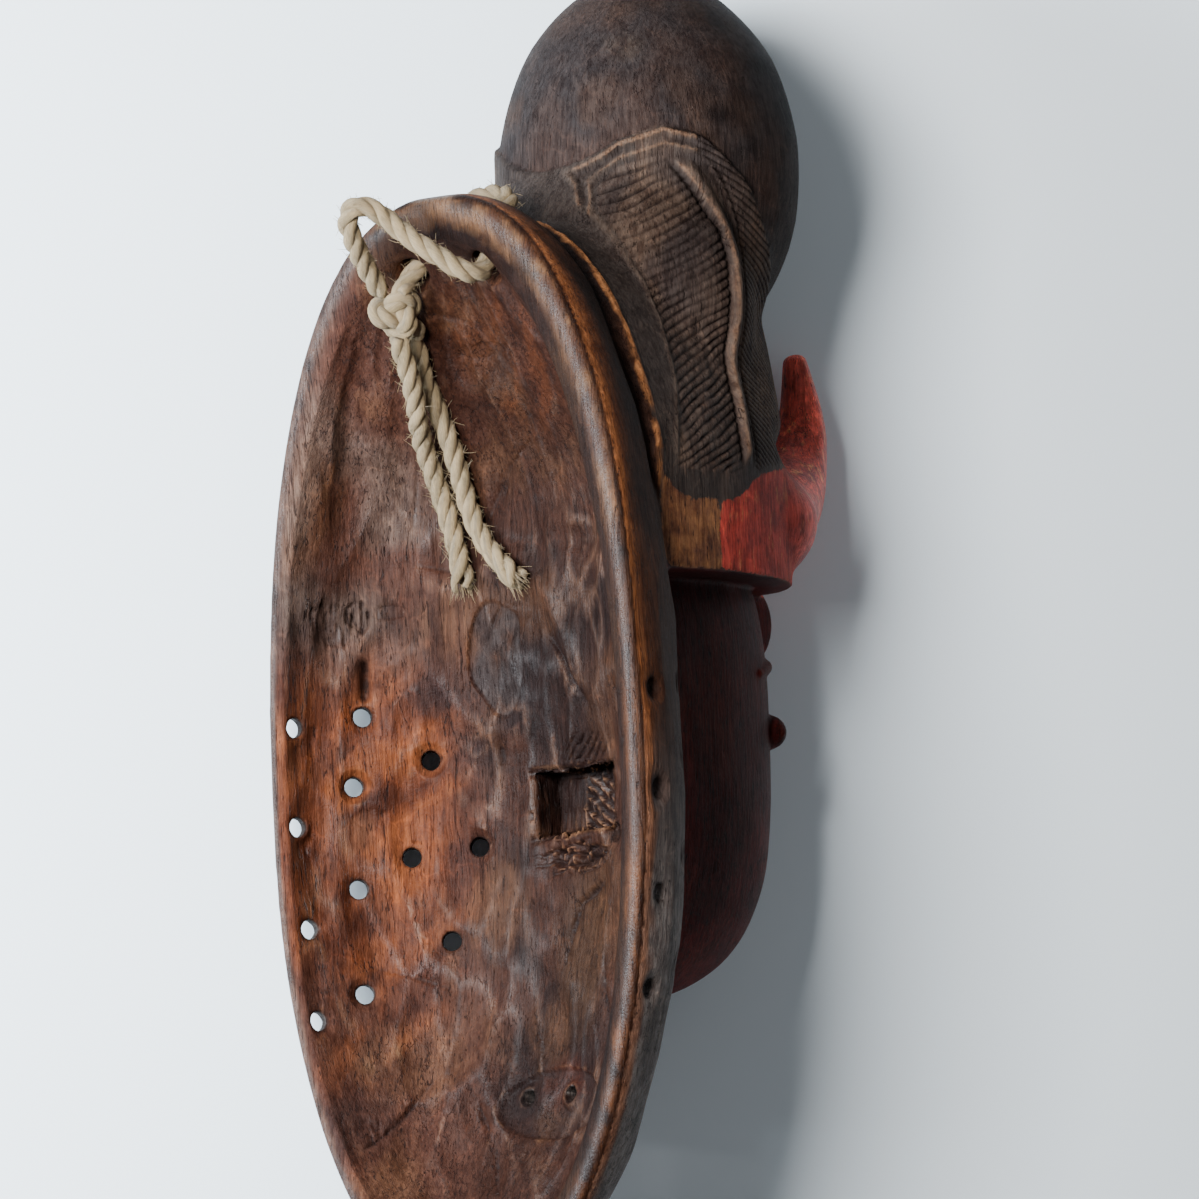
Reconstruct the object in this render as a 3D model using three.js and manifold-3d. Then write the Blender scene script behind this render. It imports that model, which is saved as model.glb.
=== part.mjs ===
// Guro face mask: one carved block of wood with a hollow back, and the cord knotted through its top.
// Millimetres. The mask is modelled in its own axes: x across the face, y up the face and z out of
// the face, with the flat back rim at z = 0. A last turn lays it on its front, +Z up.
import * as THREE from "three";
import { mergeVertices } from "three/addons/utils/BufferGeometryUtils.js";
import Module from "manifold-3d";

const wasm = await Module();
wasm.setup();

// Shell that covers the wearer's face: outline of the rim and depth of its front
const SHELL_TOP = 166;
const SHELL_BOTTOM = -166;
const SHELL_WIDEST_Y = -10;
const SHELL_HALF_WIDTH = 77;
const SHELL_TOP_FULLNESS = 2.35;
const SHELL_BOTTOM_FULLNESS = 2.15;
const SHELL_DEPTH = 56;
const SHELL_FLANK_FULLNESS = 2.05;
const RIM_BEVEL = 1.6;

// Hollow back, a little off centre, so the left wall is the thinner one
const CAVITY_TOP = 153;
const CAVITY_BOTTOM = -156;
const CAVITY_HALF_WIDTH = 68.5;
const CAVITY_SHIFT_X = 2.5;
const CAVITY_TOP_FULLNESS = 2.1;
const CAVITY_DEPTH = 47;
const CAVITY_TOP_SLOPE = 1.4;
const BROW_HOLLOW_DEPTH = 13;
const BROW_HOLLOW_Y = 84;
const BROW_HOLLOW_SPREAD = 36;

// Square pocket chiselled behind the nose
const POCKET = { left: 10.5, right: -24, low: -25, high: -6, deep: 58 };

// Coiffure over the forehead, and the smooth bun on top of it
const HAIR_LOW = 50;
const HAIR_TOP = 157;
const HAIR_BASE_Z = 24;
const HAIR_HALF_WIDTH = 61;
const HAIR_DEPTH = 111;
const BUN_CENTRE = new THREE.Vector3(0, 178, 97);
const BUN_RADIUS = 45.6;
const BUN_HALF_HEIGHT = 60;
const COLLAR_THICKNESS = 1.6;
const COLLAR_SIDE_VIEW = [
  [20, 110],
  [130, 110],
  [112, 142],
  [90, 170],
  [76, 184],
  [66, 187],
  [57, 183],
  [51, 176],
  [45, 163],
  [40, 150],
];
const WAIST_CENTRE = new THREE.Vector3(0, 135, 76);
const WAIST_RADII = new THREE.Vector3(48, 52, 40);
const BRAID_RADIUS = 2.4;
const BRAID_PATH = [
  [52.5, 84, 79],
  [51, 101, 81],
  [49.5, 116, 83],
  [48, 130, 84.5],
  [46.5, 145, 84.5],
  [44, 157, 83],
  [43, 168, 78.5],
  [39, 181, 69.5],
];

// Horn that curls up from the middle of the hairline: height, distance out, radius and half width
const HORN_PATH = [
  [74, 98, 21, 38],
  [73, 117, 21, 37],
  [74, 135, 19.5, 27],
  [85, 152, 13.5, 15.5],
  [104, 160, 7.6, 8.4],
  [122.5, 158.5, 4.2, 4.2],
];

// Face block, from under the hair down to the chin
const FACE_TOP = 74;
const FACE_BOTTOM = -76;
const FACE_BASE_Z = 44;
const FACE_HALF_WIDTH = 38;
const FACE_DEPTH = 80;
const FACE_FULLNESS = 2.7;
const BROW_Y = 20;
const EYE_Y = 7;
const NOSE_TIP_Y = -24;
const MOUTH_Y = -42;

// Round holes: four columns in each cheek, two low ones and two for the cord
const HOLE_RADIUS = 2.7;
const CHEEK_COLUMNS = [
  { around: [7, 7, 9, 7], left: 32, right: 14, rows: [12, -18, -49, -77] },
  { around: [33, 29, 29, 28], left: 42, right: 26, rows: [15, -6, -37, -69] },
  { around: [53, 46, 57], left: 48, right: 42, rows: [1, -28, -54] },
  { around: [66], left: 50, right: 50, rows: [-26] },
];
const LOW_HOLE = { x: 9, y: -103.5, radius: 2.3 };
const CORD_HOLE_RADIUS = 4.4;
const CORD_HOLE_MOUTH = 6;
const CORD_HOLE_IN = new THREE.Vector3(15.3, 142.3, 5.7);
const CORD_HOLE_OUT = new THREE.Vector3(11.5, 160, 20);

// Jute cord: a loop through both holes, closed by a knot, and two loose tails on the inner wall
const CORD_RADIUS = 3.3;
const CORD_GAP = 0.3;
const CORD_STEP = 5.6;
const KNOT_LOBES = [
  [18.2, 132.6, 2.2, 7.6],
  [21, 128, 9, 4.2],
];
const CORD_ROUTES = {
  cord_loop: [
    [14.6, 137, 0.4],
    [15.6, 141, 4.4],
    [14.4, 147, 9.6],
    [12.9, 154, 15.2],
    [11, 160, 20.2],
    [8.2, 165.4, 24.9],
    [0, 167.4, 26.6],
    [-8.2, 165.4, 24.9],
    [-11, 160, 20.2],
    [-12.9, 154, 15.2],
    [-14.4, 147, 9.6],
    [-15.6, 141.6, 4.2],
    [-14.4, 141.6, -1.4],
    [-9.6, 145.8, -6],
    [-5, 149.4, -9],
    [-0.6, 153.2, -11.5],
    [3.4, 157.6, -14.5],
    [6.4, 161.4, -18.5],
    [10, 162.4, -22.5],
    [13.6, 159, -22],
    [15.6, 153.5, -18],
    [18.2, 148.5, -12],
    [20, 143.8, -6.4],
    [21, 138.6, -0.6],
  ],
  cord_tail_left: [
    [18.2, 125.2, 2.6],
    [19.2, 120.3, 5.5],
    [20.6, 113.8, 9.8],
    [23.1, 107.2, 14.4],
    [26.8, 100.4, 19.4],
    [30.4, 94.2, 25],
    [31.9, 87.4, 29.8],
    [31.6, 80, 32.9],
    [30.2, 71.8, 34.9],
    [28.6, 63.4, 36],
    [26.6, 51.3, 36.4],
  ],
  cord_tail_right: [
    [21.2, 126.2, 11.3],
    [21.8, 120.4, 15.2],
    [23.4, 114.4, 18.6],
    [23.8, 108, 22.6],
    [24, 101, 26.8],
    [24.2, 93.7, 30.5],
    [24.3, 85.1, 34],
    [23.8, 76.8, 36.4],
    [21.6, 69, 37.8],
    [16.7, 61.2, 38.9],
    [6.6, 51.8, 39.6],
  ],
};

// How it lies: turned on its front from its left side, tipped a little towards the bun, on worn flat spots
const REST_TURN = THREE.MathUtils.degToRad(27);
const REST_TIP = THREE.MathUtils.degToRad(2.1);
const REST_FLAT = 1;

// Resolution
const ARC_STEPS = 16;
const SHELL_LEVELS = 22;
const CAVITY_LEVELS = 18;
const HAIR_LEVELS = 10;
const FACE_LEVELS = 12;
const END_TRIM = 0.004;

const DOWN = new THREE.Vector3(
  Math.cos(REST_TURN) * Math.cos(REST_TIP),
  -Math.sin(REST_TIP),
  Math.sin(REST_TURN) * Math.cos(REST_TIP),
);

const rounded = (share, fullness) =>
  Math.pow(Math.max(0, 1 - Math.pow(Math.abs(share), fullness)), 1 / fullness);

// Share of the way from the widest level to the top or the bottom end
function endShare(y, top, bottom, middle) {
  return y > middle ? (y - middle) / (top - middle) : (middle - y) / (middle - bottom);
}

function shellHalfWidth(y) {
  const share = endShare(y, SHELL_TOP, SHELL_BOTTOM, SHELL_WIDEST_Y);
  return SHELL_HALF_WIDTH * rounded(share, y > SHELL_WIDEST_Y ? SHELL_TOP_FULLNESS : SHELL_BOTTOM_FULLNESS);
}

function shellDepth(y) {
  const share = endShare(y, SHELL_TOP, SHELL_BOTTOM, SHELL_WIDEST_Y);
  return SHELL_DEPTH * rounded(share, y > SHELL_WIDEST_Y ? 2.8 : 2);
}

function cavityHalfWidth(y) {
  const share = endShare(y, CAVITY_TOP, CAVITY_BOTTOM, SHELL_WIDEST_Y);
  return CAVITY_HALF_WIDTH * rounded(share, y > SHELL_WIDEST_Y ? CAVITY_TOP_FULLNESS : SHELL_BOTTOM_FULLNESS);
}

function cavityDepth(y) {
  const share = endShare(y, CAVITY_TOP, CAVITY_BOTTOM, SHELL_WIDEST_Y);
  const brow = Math.exp(-Math.pow((y - BROW_HOLLOW_Y) / BROW_HOLLOW_SPREAD, 2));
  const bowl = rounded(share, y > SHELL_WIDEST_Y ? CAVITY_TOP_SLOPE : 2.1);
  return CAVITY_DEPTH * bowl + BROW_HOLLOW_DEPTH * brow * rounded(share, 4);
}

// The coiffure starts flush with the shell's flank, so its width follows the shell's
function hairHalfWidth(y) {
  const flank = shellHalfWidth(y) * rounded(HAIR_BASE_Z / shellDepth(y), SHELL_FLANK_FULLNESS);
  return Math.min(HAIR_HALF_WIDTH, flank);
}

function faceHalfWidth(y) {
  return FACE_HALF_WIDTH * rounded((y - 5) / (5 - FACE_BOTTOM), 3);
}

function faceDepth(y) {
  return FACE_DEPTH * rounded((y - 5) / (5 - FACE_BOTTOM), 3);
}

// Levels packed closer towards both ends, where an outline turns fastest
function levels(low, high, count) {
  const middle = (low + high) / 2;
  const half = ((high - low) / 2) * (1 - END_TRIM);
  return Array.from({ length: count + 1 }, (_, i) => middle - half * Math.cos((Math.PI * i) / count));
}

// Arc from the right side over the front to the left side
function frontArc(halfWidth, depth, fullness, steps) {
  return Array.from({ length: steps + 1 }, (_, i) => {
    const angle = (Math.PI * i) / steps;
    const across = Math.pow(Math.abs(Math.cos(angle)), 2 / fullness) * Math.sign(Math.cos(angle));
    return [halfWidth * across, depth * Math.pow(Math.sin(angle), 2 / fullness)];
  });
}

// Closed solid through rings of points, with a fan over each end
function skin(rings) {
  const count = rings[0].length;
  const centres = [rings[0], rings[rings.length - 1]].map((ring) =>
    ring.reduce((sum, p) => sum.add(p), new THREE.Vector3()).divideScalar(count),
  );
  const points = [...rings.flat(), ...centres];
  const lowCentre = points.length - 2;
  const highCentre = points.length - 1;
  const triangles = [];
  for (let i = 0; i < rings.length; i++) {
    for (let j = 0; j < count; j++) {
      const here = i * count + j;
      const beside = i * count + ((j + 1) % count);
      if (i === 0) triangles.push(lowCentre, here, beside);
      if (i === rings.length - 1) triangles.push(highCentre, beside, here);
      else triangles.push(here, here + count, beside, beside, here + count, beside + count);
    }
  }
  return solid(points.flatMap((p) => p.toArray()), triangles);
}

function solid(positions, triangles) {
  const mesh = new wasm.Mesh({
    numProp: 3,
    vertProperties: new Float32Array(positions),
    triVerts: new Uint32Array(triangles),
  });
  return new wasm.Manifold(mesh);
}

// Solid from a three.js geometry, moved by a matrix
function fromGeometry(geometry, matrix = new THREE.Matrix4()) {
  const bare = geometry.clone().applyMatrix4(matrix);
  bare.deleteAttribute("normal");
  bare.deleteAttribute("uv");
  const merged = mergeVertices(bare, 1e-3);
  return solid(Array.from(merged.attributes.position.array), Array.from(merged.index.array));
}

// Loft of flat sections, each a list of [x, z] at its level y
function loft(ys, section) {
  return skin(ys.map((y) => section(y).map(([x, z]) => new THREE.Vector3(x, y, z))));
}

function shell() {
  return loft(levels(SHELL_BOTTOM, SHELL_TOP, SHELL_LEVELS), (y) => {
    const half = shellHalfWidth(y);
    const arc = frontArc(half, shellDepth(y), SHELL_FLANK_FULLNESS, ARC_STEPS);
    const bevel = Math.min(RIM_BEVEL, shellDepth(y) / 12);
    const flank = arc.slice(1, -1);
    return [[half - bevel, 0], [half, bevel], ...flank, [-half, bevel], [bevel - half, 0]];
  });
}

function cavity() {
  return loft(levels(CAVITY_BOTTOM, CAVITY_TOP, CAVITY_LEVELS), (y) => {
    const half = cavityHalfWidth(y);
    const arc = frontArc(half, cavityDepth(y), 2, ARC_STEPS);
    return [[half, -2], ...arc, [-half, -2]].map(([x, z]) => [x + CAVITY_SHIFT_X, z]);
  });
}

function hair() {
  return loft(levels(HAIR_LOW, HAIR_TOP, HAIR_LEVELS), (y) =>
    frontArc(hairHalfWidth(y), HAIR_DEPTH, 2, ARC_STEPS).map(([x, z]) => [x, z + HAIR_BASE_Z]),
  );
}

function bun(extra = 0) {
  const radius = BUN_RADIUS + extra;
  const size = new THREE.Matrix4().makeScale(radius, BUN_HALF_HEIGHT + extra, radius);
  const place = new THREE.Matrix4().setPosition(BUN_CENTRE);
  return fromGeometry(new THREE.SphereGeometry(1, 24, 14), place.multiply(size));
}

// Tube with round section along a curve
function tube(points, radius, sides, steps) {
  const path = new THREE.CatmullRomCurve3(points, false, "centripetal");
  const ring = Array.from({ length: sides }, (_, i) => {
    const angle = (2 * Math.PI * i) / sides;
    return new THREE.Vector2(radius * Math.cos(angle), radius * Math.sin(angle));
  });
  return new THREE.ExtrudeGeometry(new THREE.Shape(ring), { steps, extrudePath: path });
}

// Hair drawn up around the lower half of the bun, cut to its outline seen from the side
function collar() {
  const outline = new THREE.Shape(COLLAR_SIDE_VIEW.map(([z, y]) => new THREE.Vector2(-z, y)));
  const width = 2 * (BUN_RADIUS + COLLAR_THICKNESS) + 2;
  const slab = new THREE.ExtrudeGeometry(outline, { depth: width, bevelEnabled: false });
  const turn = new THREE.Matrix4().makeRotationY(Math.PI / 2);
  const place = new THREE.Matrix4().makeTranslation(-width / 2, 0, 0);
  return bun(COLLAR_THICKNESS).intersect(fromGeometry(slab, place.multiply(turn)));
}

// Swelling that joins the hair to the bun
const waist = () => ellipsoid(WAIST_CENTRE, WAIST_RADII);

// Raised braid down each side of the coiffure
function braid(side) {
  const points = BRAID_PATH.map(([x, y, z]) => new THREE.Vector3(side * x, y, z));
  return fromGeometry(tube(points, BRAID_RADIUS, 6, 12));
}

function horn() {
  const curve = new THREE.CatmullRomCurve3(HORN_PATH.map(([y, z]) => new THREE.Vector3(0, y, z)));
  const sizes = new THREE.CatmullRomCurve3(HORN_PATH.map(([y, z, ...size]) => new THREE.Vector3(...size, 0)));
  const across = new THREE.Vector3(1, 0, 0);
  const rings = Array.from({ length: 13 }, (_, i) => {
    const share = i / 12;
    const centre = curve.getPoint(share);
    const inward = new THREE.Vector3().crossVectors(curve.getTangent(share), across);
    const { x: radius, y: halfWidth } = sizes.getPoint(share);
    return Array.from({ length: 12 }, (_, j) => {
      const angle = (2 * Math.PI * j) / 12;
      return centre
        .clone()
        .addScaledVector(across, -halfWidth * Math.cos(angle))
        .addScaledVector(inward, radius * Math.sin(angle));
    });
  });
  return skin(rings);
}

function faceBlock() {
  return loft(levels(FACE_BOTTOM, FACE_TOP, FACE_LEVELS), (y) =>
    frontArc(faceHalfWidth(y), faceDepth(y), FACE_FULLNESS, ARC_STEPS).map(([x, z]) => [x, z + FACE_BASE_Z]),
  );
}

// Point on the front of the face at a distance x from its middle line
function onFace(x, y) {
  const share = Math.abs(x) / faceHalfWidth(y);
  return new THREE.Vector3(x, y, FACE_BASE_Z + faceDepth(y) * rounded(share, FACE_FULLNESS));
}

function ellipsoid(centre, radii, turn = new THREE.Euler()) {
  const matrix = new THREE.Matrix4().compose(centre, new THREE.Quaternion().setFromEuler(turn), radii);
  return fromGeometry(new THREE.SphereGeometry(1, 14, 8), matrix);
}

function eyebrow(side) {
  const points = Array.from({ length: 7 }, (_, i) => {
    const share = i / 6;
    return onFace(side * (4 + 26 * share), BROW_Y + 7 * Math.sin(Math.PI * (0.15 + 0.7 * share)));
  });
  return fromGeometry(tube(points, 2.2, 6, 8));
}

function eyelid(side) {
  const turn = new THREE.Euler(0, side * 0.3, side * -0.08);
  const lid = ellipsoid(onFace(side * 17, EYE_Y), new THREE.Vector3(10, 5.5, 4.5), turn);
  const slitCentre = onFace(side * 17.5, EYE_Y - 1.6).add(new THREE.Vector3(0, 0, 4));
  const slit = new THREE.Matrix4().makeTranslation(slitCentre);
  return lid.subtract(fromGeometry(new THREE.BoxGeometry(17, 1.5, 6), slit));
}

function nose() {
  const rows = [
    [BROW_Y, 2.6, 1.5],
    [BROW_Y - 16, 3.2, 5],
    [NOSE_TIP_Y + 8, 5.2, 10.5],
    [NOSE_TIP_Y, 8.6, 12.5],
    [NOSE_TIP_Y - 4, 7, 5],
  ];
  const rings = rows.map(([y, half, height]) => {
    const base = onFace(0, y).z;
    const flank = [[half, -6], [half, height * 0.25], [half * 0.35, height]];
    const outline = [...flank, ...flank.map(([x, z]) => [-x, z]).reverse()];
    return outline.map(([x, z]) => new THREE.Vector3(x, y, base + z));
  });
  return skin(rings.reverse());
}

function mouth() {
  const upper = ellipsoid(onFace(0, MOUTH_Y + 2.3), new THREE.Vector3(11, 2.7, 5));
  const lower = ellipsoid(onFace(0, MOUTH_Y - 2.6), new THREE.Vector3(9.5, 2.9, 5));
  return upper.add(lower);
}

// Leaf-shaped mark on the forehead, just under the horn
function foreheadLeaf() {
  return ellipsoid(new THREE.Vector3(0, 42, 126), new THREE.Vector3(5, 15, 17));
}

// Round hole from a point inside the hollow, cut along a direction
function drill(start, direction, radius, length) {
  const turn = new THREE.Quaternion().setFromUnitVectors(new THREE.Vector3(0, 1, 0), direction);
  const middle = start.clone().addScaledVector(direction, length / 2);
  const matrix = new THREE.Matrix4().compose(middle, turn, new THREE.Vector3(1, 1, 1));
  return fromGeometry(new THREE.CylinderGeometry(radius, radius, length, 10), matrix);
}

function cheekHole(side, column, row) {
  const y = column.rows[row];
  const around = THREE.MathUtils.degToRad(column.around[row]);
  const slope = THREE.MathUtils.degToRad(side > 0 ? column.left : column.right);
  const x = side * cavityHalfWidth(y) * Math.cos(around) + CAVITY_SHIFT_X;
  const wall = new THREE.Vector3(x, y, cavityDepth(y) * Math.sin(around));
  const direction = new THREE.Vector3(side * Math.cos(slope), 0, Math.sin(slope));
  return drill(wall.addScaledVector(direction, -6), direction, HOLE_RADIUS, 24);
}

function holes() {
  const list = [];
  for (const side of [-1, 1]) {
    for (const column of CHEEK_COLUMNS) {
      for (const row of column.rows.keys()) list.push(cheekHole(side, column, row));
    }
    const low = new THREE.Vector3(side * LOW_HOLE.x, LOW_HOLE.y, 30);
    list.push(drill(low, new THREE.Vector3(0, 0, 1), LOW_HOLE.radius, 30));
    const mirror = new THREE.Vector3(side, 1, 1);
    const start = CORD_HOLE_IN.clone().multiply(mirror);
    const direction = CORD_HOLE_OUT.clone().multiply(mirror).sub(start).normalize();
    const mouth = new THREE.Vector3(CORD_HOLE_MOUTH, CORD_HOLE_MOUTH, CORD_HOLE_MOUTH);
    list.push(ellipsoid(start, mouth));
    list.push(drill(start.clone().addScaledVector(direction, -8), direction, CORD_HOLE_RADIUS, 44));
  }
  return list;
}

function pocket() {
  const deep = POCKET.deep - 20;
  const box = new THREE.BoxGeometry(POCKET.left - POCKET.right, POCKET.high - POCKET.low, deep);
  const centre = [(POCKET.left + POCKET.right) / 2, (POCKET.high + POCKET.low) / 2, 20 + deep / 2];
  const place = new THREE.Matrix4().makeTranslation(...centre);
  return fromGeometry(box, place);
}

function maskSolid() {
  const raised = [hair(), waist(), bun(), collar(), horn(), faceBlock(), nose(), mouth(), foreheadLeaf()];
  for (const side of [-1, 1]) raised.push(braid(side), eyebrow(side), eyelid(side));
  const cuts = [cavity(), pocket(), ...holes()];
  const block = raised.reduce((sum, piece) => sum.add(piece), shell());
  return flattened(cuts.reduce((rest, piece) => rest.subtract(piece), block));
}

// Small flat spots where it lies, cut just above its lowest points
function flattened(manifold) {
  const { vertProperties } = manifold.getMesh();
  const heights = Array.from({ length: vertProperties.length / 3 }, (_, i) =>
    -new THREE.Vector3().fromArray(vertProperties, 3 * i).dot(DOWN),
  );
  const floor = Math.min(...heights) + REST_FLAT;
  return manifold.trimByPlane(DOWN.clone().negate().toArray(), floor);
}

function toGeometry(manifold) {
  const { vertProperties, triVerts } = manifold.getMesh();
  const geometry = new THREE.BufferGeometry();
  geometry.setAttribute("position", new THREE.BufferAttribute(vertProperties, 3));
  geometry.setIndex(new THREE.BufferAttribute(triVerts, 1));
  return geometry;
}

// Tube along a cord's route; a longer and thicker one is what the knot gives way to
function cordTube(route, extra = 0) {
  const points = route.map((p) => new THREE.Vector3(...p));
  const steps = Math.round(new THREE.CatmullRomCurve3(points).getLength() / CORD_STEP);
  const last = points.length - 1;
  const [startWards, endWards] = [points[0].clone().sub(points[1]), points[last].clone().sub(points[last - 1])];
  points[0].add(startWards.setLength(extra));
  points[last].add(endWards.setLength(extra));
  return fromGeometry(tube(points, CORD_RADIUS + extra, 8, steps));
}

function knot() {
  const lobes = KNOT_LOBES.map(([x, y, z, radius]) =>
    ellipsoid(new THREE.Vector3(x, y, z), new THREE.Vector3(radius, radius, radius)),
  );
  const whole = lobes.reduce((sum, lobe) => sum.add(lobe));
  return Object.values(CORD_ROUTES).reduce((rest, route) => rest.subtract(cordTube(route, CORD_GAP)), whole);
}

function piece(name, geometry, color, roughness) {
  const mesh = new THREE.Mesh(geometry, new THREE.MeshStandardMaterial({ color, roughness, metalness: 0 }));
  mesh.name = name;
  return mesh;
}

// Everything in the mask's own axes, then turned so that DOWN points down and the face's height lies along Y
const laid = new THREE.Group();
laid.add(piece("mask", toGeometry(maskSolid()), 0x5a3a28, 0.6));
laid.add(piece("cord_knot", toGeometry(knot()), 0xc9b48c, 0.95));
for (const [name, route] of Object.entries(CORD_ROUTES)) {
  laid.add(piece(name, toGeometry(cordTube(route)), 0xc9b48c, 0.95));
}
const up = DOWN.clone().negate();
const along = new THREE.Vector3(0, 1, 0).projectOnPlane(up).normalize();
const across = new THREE.Vector3().crossVectors(along, up);
laid.quaternion.setFromRotationMatrix(new THREE.Matrix4().makeBasis(across, along, up).invert());
laid.updateMatrixWorld(true);

// The middle of the underside is the origin
const bounds = new THREE.Box3().setFromObject(laid, true);
const middle = bounds.getCenter(new THREE.Vector3());
laid.position.set(-middle.x, -middle.y, -bounds.min.z);

const group = new THREE.Group();
group.add(laid);
export default group;
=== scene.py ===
"""Guro mask lying on its front: one carved block of wood with a hollow back, and a jute cord."""
import itertools
import math

import bmesh
import bpy
import numpy as np
from mathutils import Matrix, Vector


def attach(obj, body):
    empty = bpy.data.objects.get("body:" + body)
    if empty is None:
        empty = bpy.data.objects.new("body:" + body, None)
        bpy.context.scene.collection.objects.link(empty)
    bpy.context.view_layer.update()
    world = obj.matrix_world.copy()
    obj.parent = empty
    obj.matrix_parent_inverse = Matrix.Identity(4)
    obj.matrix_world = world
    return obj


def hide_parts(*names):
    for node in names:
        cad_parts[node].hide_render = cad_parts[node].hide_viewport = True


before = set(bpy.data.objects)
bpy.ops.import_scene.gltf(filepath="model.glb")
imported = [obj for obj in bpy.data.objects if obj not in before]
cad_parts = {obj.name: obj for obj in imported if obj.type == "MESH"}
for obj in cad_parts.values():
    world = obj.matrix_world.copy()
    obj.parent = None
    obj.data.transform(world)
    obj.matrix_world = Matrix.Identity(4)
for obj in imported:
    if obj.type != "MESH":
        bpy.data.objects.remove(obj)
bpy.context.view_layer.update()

# The mask is modelled in its own axes, in millimetres, as in the CAD: x across the face, y up it,
# z out of it, with the flat back rim at z = 0
MM = 0.001
SHELL_TOP, SHELL_BOTTOM, SHELL_WIDEST_Y = 166, -166, -10
SHELL_HALF_WIDTH, SHELL_DEPTH = 77, 56
SHELL_TOP_FULLNESS, SHELL_BOTTOM_FULLNESS, SHELL_FLANK_FULLNESS = 2.35, 2.15, 2.05
RIM_BEVEL, RIM_WEAR = 1.6, 1.9
CAVITY_TOP, CAVITY_BOTTOM, CAVITY_SHIFT_X = 153, -156, 2.5
CAVITY_HALF_WIDTH, CAVITY_DEPTH = 68.5, 47
CAVITY_TOP_FULLNESS, CAVITY_TOP_SLOPE = 2.1, 1.4
BROW_HOLLOW_DEPTH, BROW_HOLLOW_Y, BROW_HOLLOW_SPREAD = 13, 84, 36
POCKET_LOW, POCKET_HIGH = (-24, -25, 20), (10.5, -6, 58)
HAIR_LOW, HAIR_TOP, HAIR_BASE_Z, HAIR_HALF_WIDTH, HAIR_DEPTH = 50, 157, 24, 61, 111
BUN_CENTRE, BUN_RADII = np.array([0, 178, 97.0]), np.array([45.6, 60, 45.6])
COLLAR_THICKNESS = 1.6
COLLAR_SIDE_VIEW = [
    (20, 110), (130, 110), (112, 142), (90, 170), (76, 184), (66, 187), (57, 183), (51, 176), (45, 163),
    (40, 150),
]
WAIST_CENTRE, WAIST_RADII = np.array([0, 135, 76.0]), np.array([48, 52, 40.0])
HORN_ROOT_CENTRE, HORN_ROOT_RADII = np.array([-4, 70.5, 111.0]), np.array([34, 22, 36.0])
# Height, distance out, radius and half width
HORN_PATH = [
    (74, 98, 21, 38), (73, 117, 21, 37), (74, 135, 19.5, 27), (85, 152, 13.5, 15.5),
    (104, 160, 7.6, 8.4), (122.5, 158.5, 4.2, 4.2),
]
HORN_EDGE = 1.6
FACE_TOP, FACE_BOTTOM, FACE_BASE_Z = 74, -76, 44
FACE_HALF_WIDTH, FACE_DEPTH, FACE_FULLNESS = 38, 80, 2.7
BROW_Y, EYE_Y, NOSE_TIP_Y, MOUTH_Y = 20, 7, -24, -42
HOLE_RADIUS = 2.7
CHEEK_COLUMNS = [
    {"around": [7, 7, 9, 7], "left": 32, "right": 14, "rows": [12, -18, -49, -77]},
    {"around": [33, 29, 29, 28], "left": 42, "right": 26, "rows": [15, -6, -37, -69]},
    {"around": [53, 46, 57], "left": 48, "right": 42, "rows": [1, -28, -54]},
    {"around": [66], "left": 50, "right": 50, "rows": [-26]},
]
LOW_HOLE_X, LOW_HOLE_Y, LOW_HOLE_RADIUS = 9, -103.5, 2.3
CORD_HOLE_RADIUS, CORD_HOLE_MOUTH = 4.4, 6
CORD_HOLE_IN, CORD_HOLE_OUT = (15.3, 142.3, 5.7), (11.5, 160, 20)

# Cord, with the same routes as in the CAD
LOOP_ROUTE = [
    (14.6, 137, 0.4), (15.6, 141, 4.4), (14.4, 147, 9.6), (12.9, 154, 15.2), (11, 160, 20.2),
    (8.2, 165.4, 24.9), (0, 167.4, 26.6), (-8.2, 165.4, 24.9), (-11, 160, 20.2), (-12.9, 154, 15.2),
    (-14.4, 147, 9.6), (-15.6, 141.6, 4.2), (-14.4, 141.6, -1.4), (-9.6, 145.8, -6), (-5, 149.4, -9),
    (-0.6, 153.2, -11.5), (3.4, 157.6, -14.5), (6.4, 161.4, -18.5), (10, 162.4, -22.5),
    (13.6, 159, -22), (15.6, 153.5, -18), (18.2, 148.5, -12), (20, 143.8, -6.4), (21, 138.6, -0.6),
]
LEFT_TAIL_ROUTE = [
    (18.2, 125.2, 2.6), (19.2, 120.3, 5.5), (20.6, 113.8, 9.8), (23.1, 107.2, 14.4),
    (26.8, 100.4, 19.4), (30.4, 94.2, 25), (31.9, 87.4, 29.8), (31.6, 80, 32.9), (30.2, 71.8, 34.9),
    (28.6, 63.4, 36), (26.6, 51.3, 36.4),
]
RIGHT_TAIL_ROUTE = [
    (21.2, 126.2, 11.3), (21.8, 120.4, 15.2), (23.4, 114.4, 18.6), (23.8, 108, 22.6), (24, 101, 26.8),
    (24.2, 93.7, 30.5), (24.3, 85.1, 34), (23.8, 76.8, 36.4), (21.6, 69, 37.8), (16.7, 61.2, 38.9),
    (6.6, 51.8, 39.6),
]
KNOT_CENTRE, HITCH_CENTRE = np.array([18.4, 132.3, 2.6]), np.array([21.2, 127.5, 9.5])

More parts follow.
